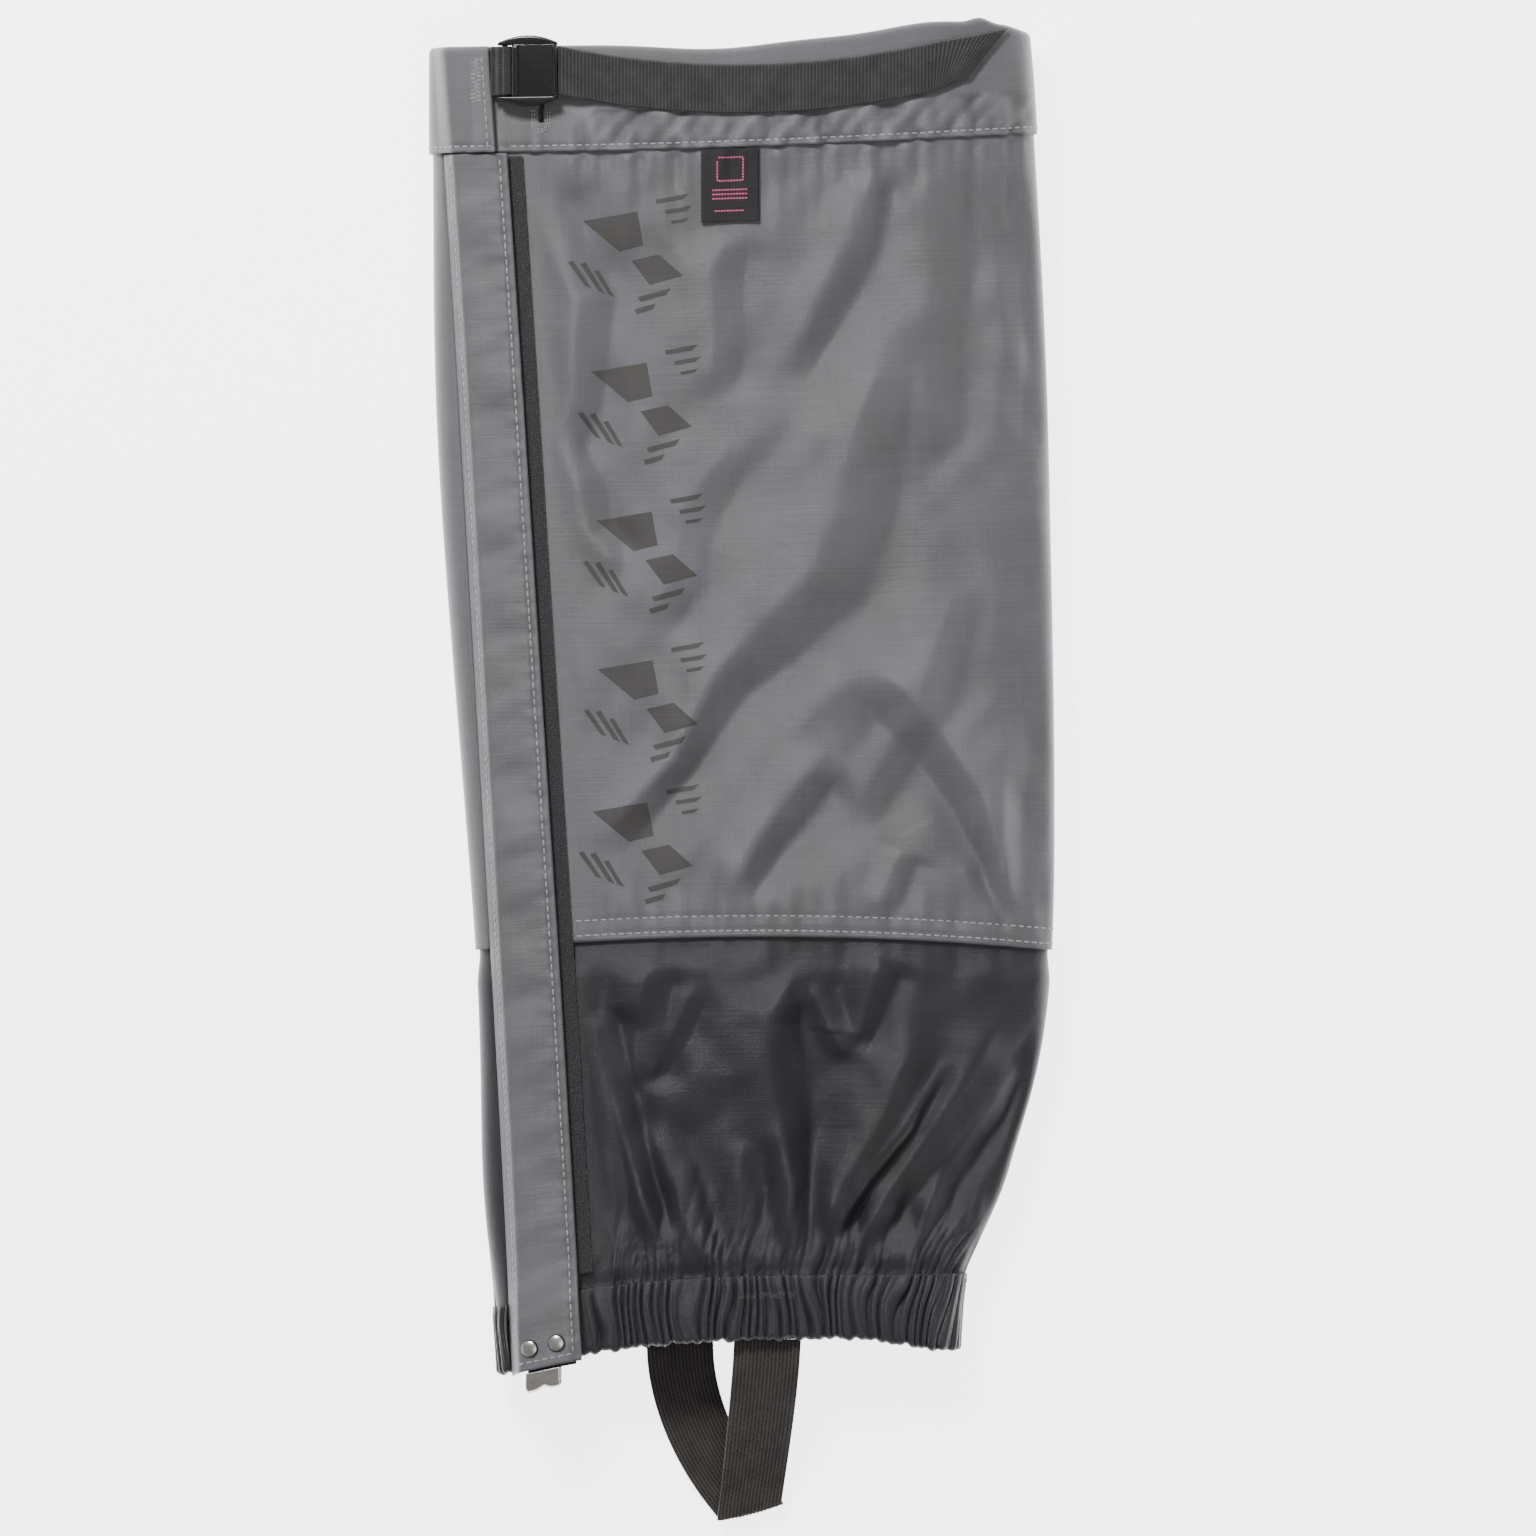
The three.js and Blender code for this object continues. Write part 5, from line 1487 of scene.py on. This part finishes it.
def buttonhole_thread():
    """Thread wound close round the buttonhole's lower end."""
    runs = []
    for reach in (BUTTONHOLE_WIDTH / 2 + 0.3, BUTTONHOLE_WIDTH / 2 + 1.1):
        a = np.linspace(math.pi, 2 * math.pi, 40)
        x = BUTTONHOLE_X + reach * np.cos(a)
        v = BUTTONHOLE_LOW + reach * np.sin(a)
        x = np.concatenate([[x[0]] * 8, x, [x[-1]] * 8])
        rise = np.linspace(5, 0, 8)
        v = np.concatenate([BUTTONHOLE_LOW + rise, v, BUTTONHOLE_LOW + rise[::-1]])
        runs.append(line_on(lambda u, t: over(x, v, CUFF_SURFACE + t), np.arange(len(x))))
    return thread("buttonhole_thread", runs, length=1.25, pitch=1.3, width=0.5)


finished(buttonhole_thread(), THREAD_MID, ["buttonhole_stitching"], "leg")


# ---- print, label ----

# A plain block-and-dash motif, in mm: each piece is four corners.
MOTIF = [
    [(-16, 12), (2, 15), (4, 4), (-4, 2)],
    [(0, -1), (9, 1), (17, -6), (6, -9)],
    [(8, 19), (19, 21), (17, 19), (8.4, 17.6)],
    [(11, 15.5), (20, 17), (18, 15.2), (11.5, 14.2)],
    [(13, 12), (19, 13), (17.6, 11.6), (13.4, 11)],
    [(-19, -1), (-13, -10), (-15, -9.4), (-20.6, -1.6)],
    [(-15, -1.5), (-8.5, -12), (-10.8, -11), (-16.7, -2.1)],
    [(-10.8, -4), (-5.5, -13), (-7.6, -12), (-12.3, -4.5)],
    [(2, -13), (13, -10), (11.6, -12.2), (3, -14.6)],
    [(1, -17), (8, -15), (7, -17), (1.8, -18.6)],
]
MOTIF_SPOTS = [(-37.5, 168), (-34.5, 118.5), (-32.8, 69.6), (-32.5, 20.8), (-34.2, -26)]


def printed(name, cx, cy):
    """One motif, as thin ink on the upper panel round the point (cx, cy)."""
    points, faces, uvs = [], [], []
    across, up = 26, 14
    for corners in MOTIF:
        c = np.array(corners, float)
        u, w = np.meshgrid(np.linspace(0, 1, across), np.linspace(0, 1, up))
        u, w = u[..., None], w[..., None]
        flat = (c[0] * (1 - u) + c[1] * u) * (1 - w) + (c[3] * (1 - u) + c[2] * u) * w
        x, y = cx + flat[..., 0], cy + flat[..., 1]
        v = y - lean(y, x)
        base = sum(len(p) for p in points)
        points.append(skin(x, v, CLOTH + 0.09).reshape(-1, 3))
        uvs.append(np.stack([x, y], -1).reshape(-1, 2))
        index = np.arange(up * across).reshape(up, across) + base
        quad = np.stack([index[1:, :-1], index[1:, 1:], index[:-1, 1:], index[:-1, :-1]], -1)
        faces += quad.reshape(-1, 4).tolist()
    return new_object(name, np.concatenate(points), faces, np.concatenate(uvs))


for k, (cx, cy) in enumerate(MOTIF_SPOTS):
    finished(printed(f"print_motif_{k + 1}", cx, cy), PRINT_CLOTH, (), "leg")

LABEL_LEFT = fold_x(CUFF_EDGE) + LABEL_INSET
LABEL_TOP = CUFF_EDGE - EDGE_GAP


def label_place(s, q):
    x = LABEL_LEFT + LABEL_WIDTH / 2 + q
    v = LABEL_TOP - s * LABEL_HEIGHT
    curl = 0.5 * s**2 * (np.abs(q) / LABEL_WIDTH * 2) ** 2 + 0.25 * np.sin(s * 5) * s
    return skin(x, v, OUTER_LEG + LABEL_THICK / 2 + 0.2 * s + curl)


woven = strap("woven_label_cloth", label_place, LABEL_HEIGHT, -LABEL_WIDTH, LABEL_THICK, 60, 44, rib=0.02)
finished(woven, LABEL_CLOTH, ["woven_label"])


def label_line(points):
    """Thread over the label along points (x, y) from its centre."""
    flat = np.array(points, float)
    s = np.clip(0.5 - flat[:, 1] / LABEL_HEIGHT, 0, 1)
    low = label_place(s, flat[:, 0])
    up = np.tile([0.0, 0.0, 1.0], (len(flat), 1))
    return low + up * (LABEL_THICK / 2 + 0.05), up


def label_mark():
    """A plain square frame over three bars."""
    square = [(-4.2, 9), (4.2, 9), (4.2, 1.4), (-4.2, 1.4), (-4.2, 9)]
    dense = []
    for (ax, ay), (bx, by) in zip(square[:-1], square[1:]):
        dense += [(mix(ax, bx, s), mix(ay, by, s)) for s in np.linspace(0, 1, 24)[:-1]]
    runs = [label_line(dense)]
    for y, half in ((-1.6, 6.2), (-3.0, 6.2), (-4.4, 6.2), (-8.4, 5.4)):
        runs.append(label_line([(x, y) for x in np.linspace(-half, half, 30)]))
    return thread("label_mark_thread", runs, length=1.0, pitch=0.98, width=0.75, height=0.25)


mark = finished(label_mark(), THREAD_PINK)

# ---- instep strap ----


def instep_end(name, middle, side, replaced):
    def place(s, q):
        return side(middle + q, mix(HEM - EDGE_GAP * 2, HEM + INSTEP_SEWN, s), INSTEP_T)

    flip = -1 if side is behind else 1
    end = strap(name, place, INSTEP_SEWN, flip * INSTEP_WIDTH, INSTEP_THICK, 30, 120, False, INSTEP_PITCH)
    return finished(end, LONG_WEBBING, [replaced], "leg")


instep_end("instep_front_end_webbing", INSTEP_FRONT_X, over, "instep_strap_front_end")
instep_end("instep_back_end_webbing", INSTEP_BACK_X, behind, "instep_strap_back_end")


def instep_stations():
    """Down the front leg, round the crease under the boot, and up the back leg: point and angle."""
    start = HEM - EDGE_GAP * 2
    front = over(INSTEP_FRONT_X, start, INSTEP_T)
    back = behind(INSTEP_BACK_X, start, INSTEP_T)
    crease_z = behind(INSTEP_BACK_X, HEM, INSTEP_T)[2] - CREASE_RADIUS
    crease = np.array([fold_x(HEM) + INSTEP_CREASE_INSET, start - INSTEP_DROP, crease_z])

    def leg(root, power, level):
        rows = []
        for s in np.linspace(0, 1, 8):
            x, y = mix(root[0], crease[0], s**power), mix(root[1], crease[1], s)
            rows.append((x, y, mix(root[2], crease[2] + level, ease(s)), CREASE_ANGLE * ease(s)))
        return rows

    turn = []
    for a in (math.pi / 4, math.pi / 2, math.pi * 3 / 4):
        reach = CREASE_RADIUS * math.sin(a)
        x = crease[0] + math.sin(CREASE_ANGLE) * reach
        y = crease[1] - math.cos(CREASE_ANGLE) * reach
        turn.append((x, y, crease[2] + CREASE_RADIUS * math.cos(a), CREASE_ANGLE))
    return leg(front, 1.3, CREASE_RADIUS) + turn + leg(back, 2, -CREASE_RADIUS)[::-1]


INSTEP_STATIONS = instep_stations()


def instep_place(s, q):
    """The loop, with the two corners of its crease drawn in a little."""
    x, y, z, angle = np.moveaxis(along(INSTEP_STATIONS, s), -1, 0)
    corner = np.abs(q / (INSTEP_WIDTH / 2)) ** 5 * groove(s - 0.5, 0.05)
    across = x + q * np.cos(angle) - CORNER_DRAW[0] * np.sign(q) * corner
    return np.stack([across, y + q * np.sin(angle) + CORNER_DRAW[1] * corner, z], -1)


instep = strap("instep_strap_webbing", instep_place, INSTEP_RUN, INSTEP_WIDTH, INSTEP_THICK * 0.9, 260, 150,
               False, INSTEP_PITCH)
finished(instep, LONG_WEBBING, ["instep_strap"])

# ---- pieces between two bodies, with their transforms baked ----


def hinge_blend(obj):
    """Works out spots on the flap's root, square to the hinge's line, and bakes the piece's transform into
    its mesh.
    """
    middle = (FLAP_TOP + FLAP_END) / 2
    root = over(hinge_x(middle), middle, CLOTH)
    line = over(hinge_x(FLAP_TOP), FLAP_TOP, CLOTH) - over(hinge_x(FLAP_END), FLAP_END, CLOTH)
    line /= np.linalg.norm(line)
    way = np.array([1.0, 0, 0]) - line * line[0]
    spot(root - way * 0.6)
    spot(root + way * 6.5)
    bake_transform(obj)


hinge_blend(flap)
hinge_blend(stitched_flap)
tail_root = over(TAIL_X, BUCKLE_V, RETURN_LEVEL)
spot(tail_root)
spot(tail_root + np.array([9, 0, 0]))
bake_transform(tail)
feed_low = over(CENTRE_BAR_X, BUCKLE_V, FEED_LEVEL)
feed_high = over(CENTRE_BAR_X, BUCKLE_V, RETURN_LEVEL)
spot(feed_low)
spot(mix(feed_low, feed_high, 0.8))
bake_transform(fed)
label_root = label_place(np.array(0.0), np.array(0.0))
for piece in (woven, mark):
    spot(label_root)
    spot(label_root - np.array([0, 5, 0]))
    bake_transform(piece)
instep_root = over(INSTEP_FRONT_X, HEM, INSTEP_T)
instep_ends = [spot(instep_root - np.array([0, down, 0])) for down in (1, 14)]
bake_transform(instep)

# ---- the cloth's length round the tube, at a few heights ----


def girth(v, last):
    """The cloth's length round the tube at height v, from the underlap to the line last."""
    return arc_shares(float(start_angle(v)), float(last(v)), v, 8)[1]


girth(MID_CALF, hinge_angle)
girth(ANKLE, hinge_angle) * 1.08
girth(STRAP_V, cuff_end)
girth(HEM, hinge_angle) * 1.3


# ---- floor, light and camera ----


def studio():
    bpy.ops.mesh.primitive_plane_add(size=FLOOR_WIDTH, location=(0, 0, -FLOOR_DROP))
    floor = bpy.context.object
    floor.name = "floor"
    paper = Finish("pale_paper")
    fibre = paper.noise(paper.add("TexCoord").outputs["Object"], 900, 3.0, 0.5)
    paper.colour(paper.mixed(paper.span(fibre, 0.3, 0.7, 0, 1), PAPER, PAPER_LIGHT))
    paper.set(Roughness=0.9, Emission_Color=(1, 1, 1, 1), Emission_Strength=FLOOR_GLOW)
    floor.data.materials.append(paper.material)
    world = bpy.data.worlds.new("studio")
    world.use_nodes = True
    world.node_tree.nodes["Background"].inputs[0].default_value = (1, 1, 1, 1)
    world.node_tree.nodes["Background"].inputs[1].default_value = WORLD_LIGHT
    bpy.context.scene.world = world
    for name, place, size, power in LIGHTS:
        data = bpy.data.lights.new(name, "AREA")
        data.shape = "DISK"
        data.size = size
        data.energy = power
        lamp = bpy.data.objects.new(name, data)
        lamp.location = place
        lamp.visible_camera = False
        bpy.context.scene.collection.objects.link(lamp)
        aim = -np.array(place)
        lamp.rotation_mode = "QUATERNION"
        lamp.rotation_quaternion = Vector(aim).to_track_quat("-Z", "Y")


def camera():
    data = bpy.data.cameras.new("camera")
    data.sensor_width = SENSOR_WIDTH
    data.lens = data.sensor_width * CAMERA_HEIGHT / CAMERA_WIDTH
    eye = bpy.data.objects.new("camera", data)
    eye.location = (*CAMERA_SPOT, CAMERA_HEIGHT)
    bpy.context.scene.collection.objects.link(eye)
    bpy.context.scene.camera = eye


studio()
camera()
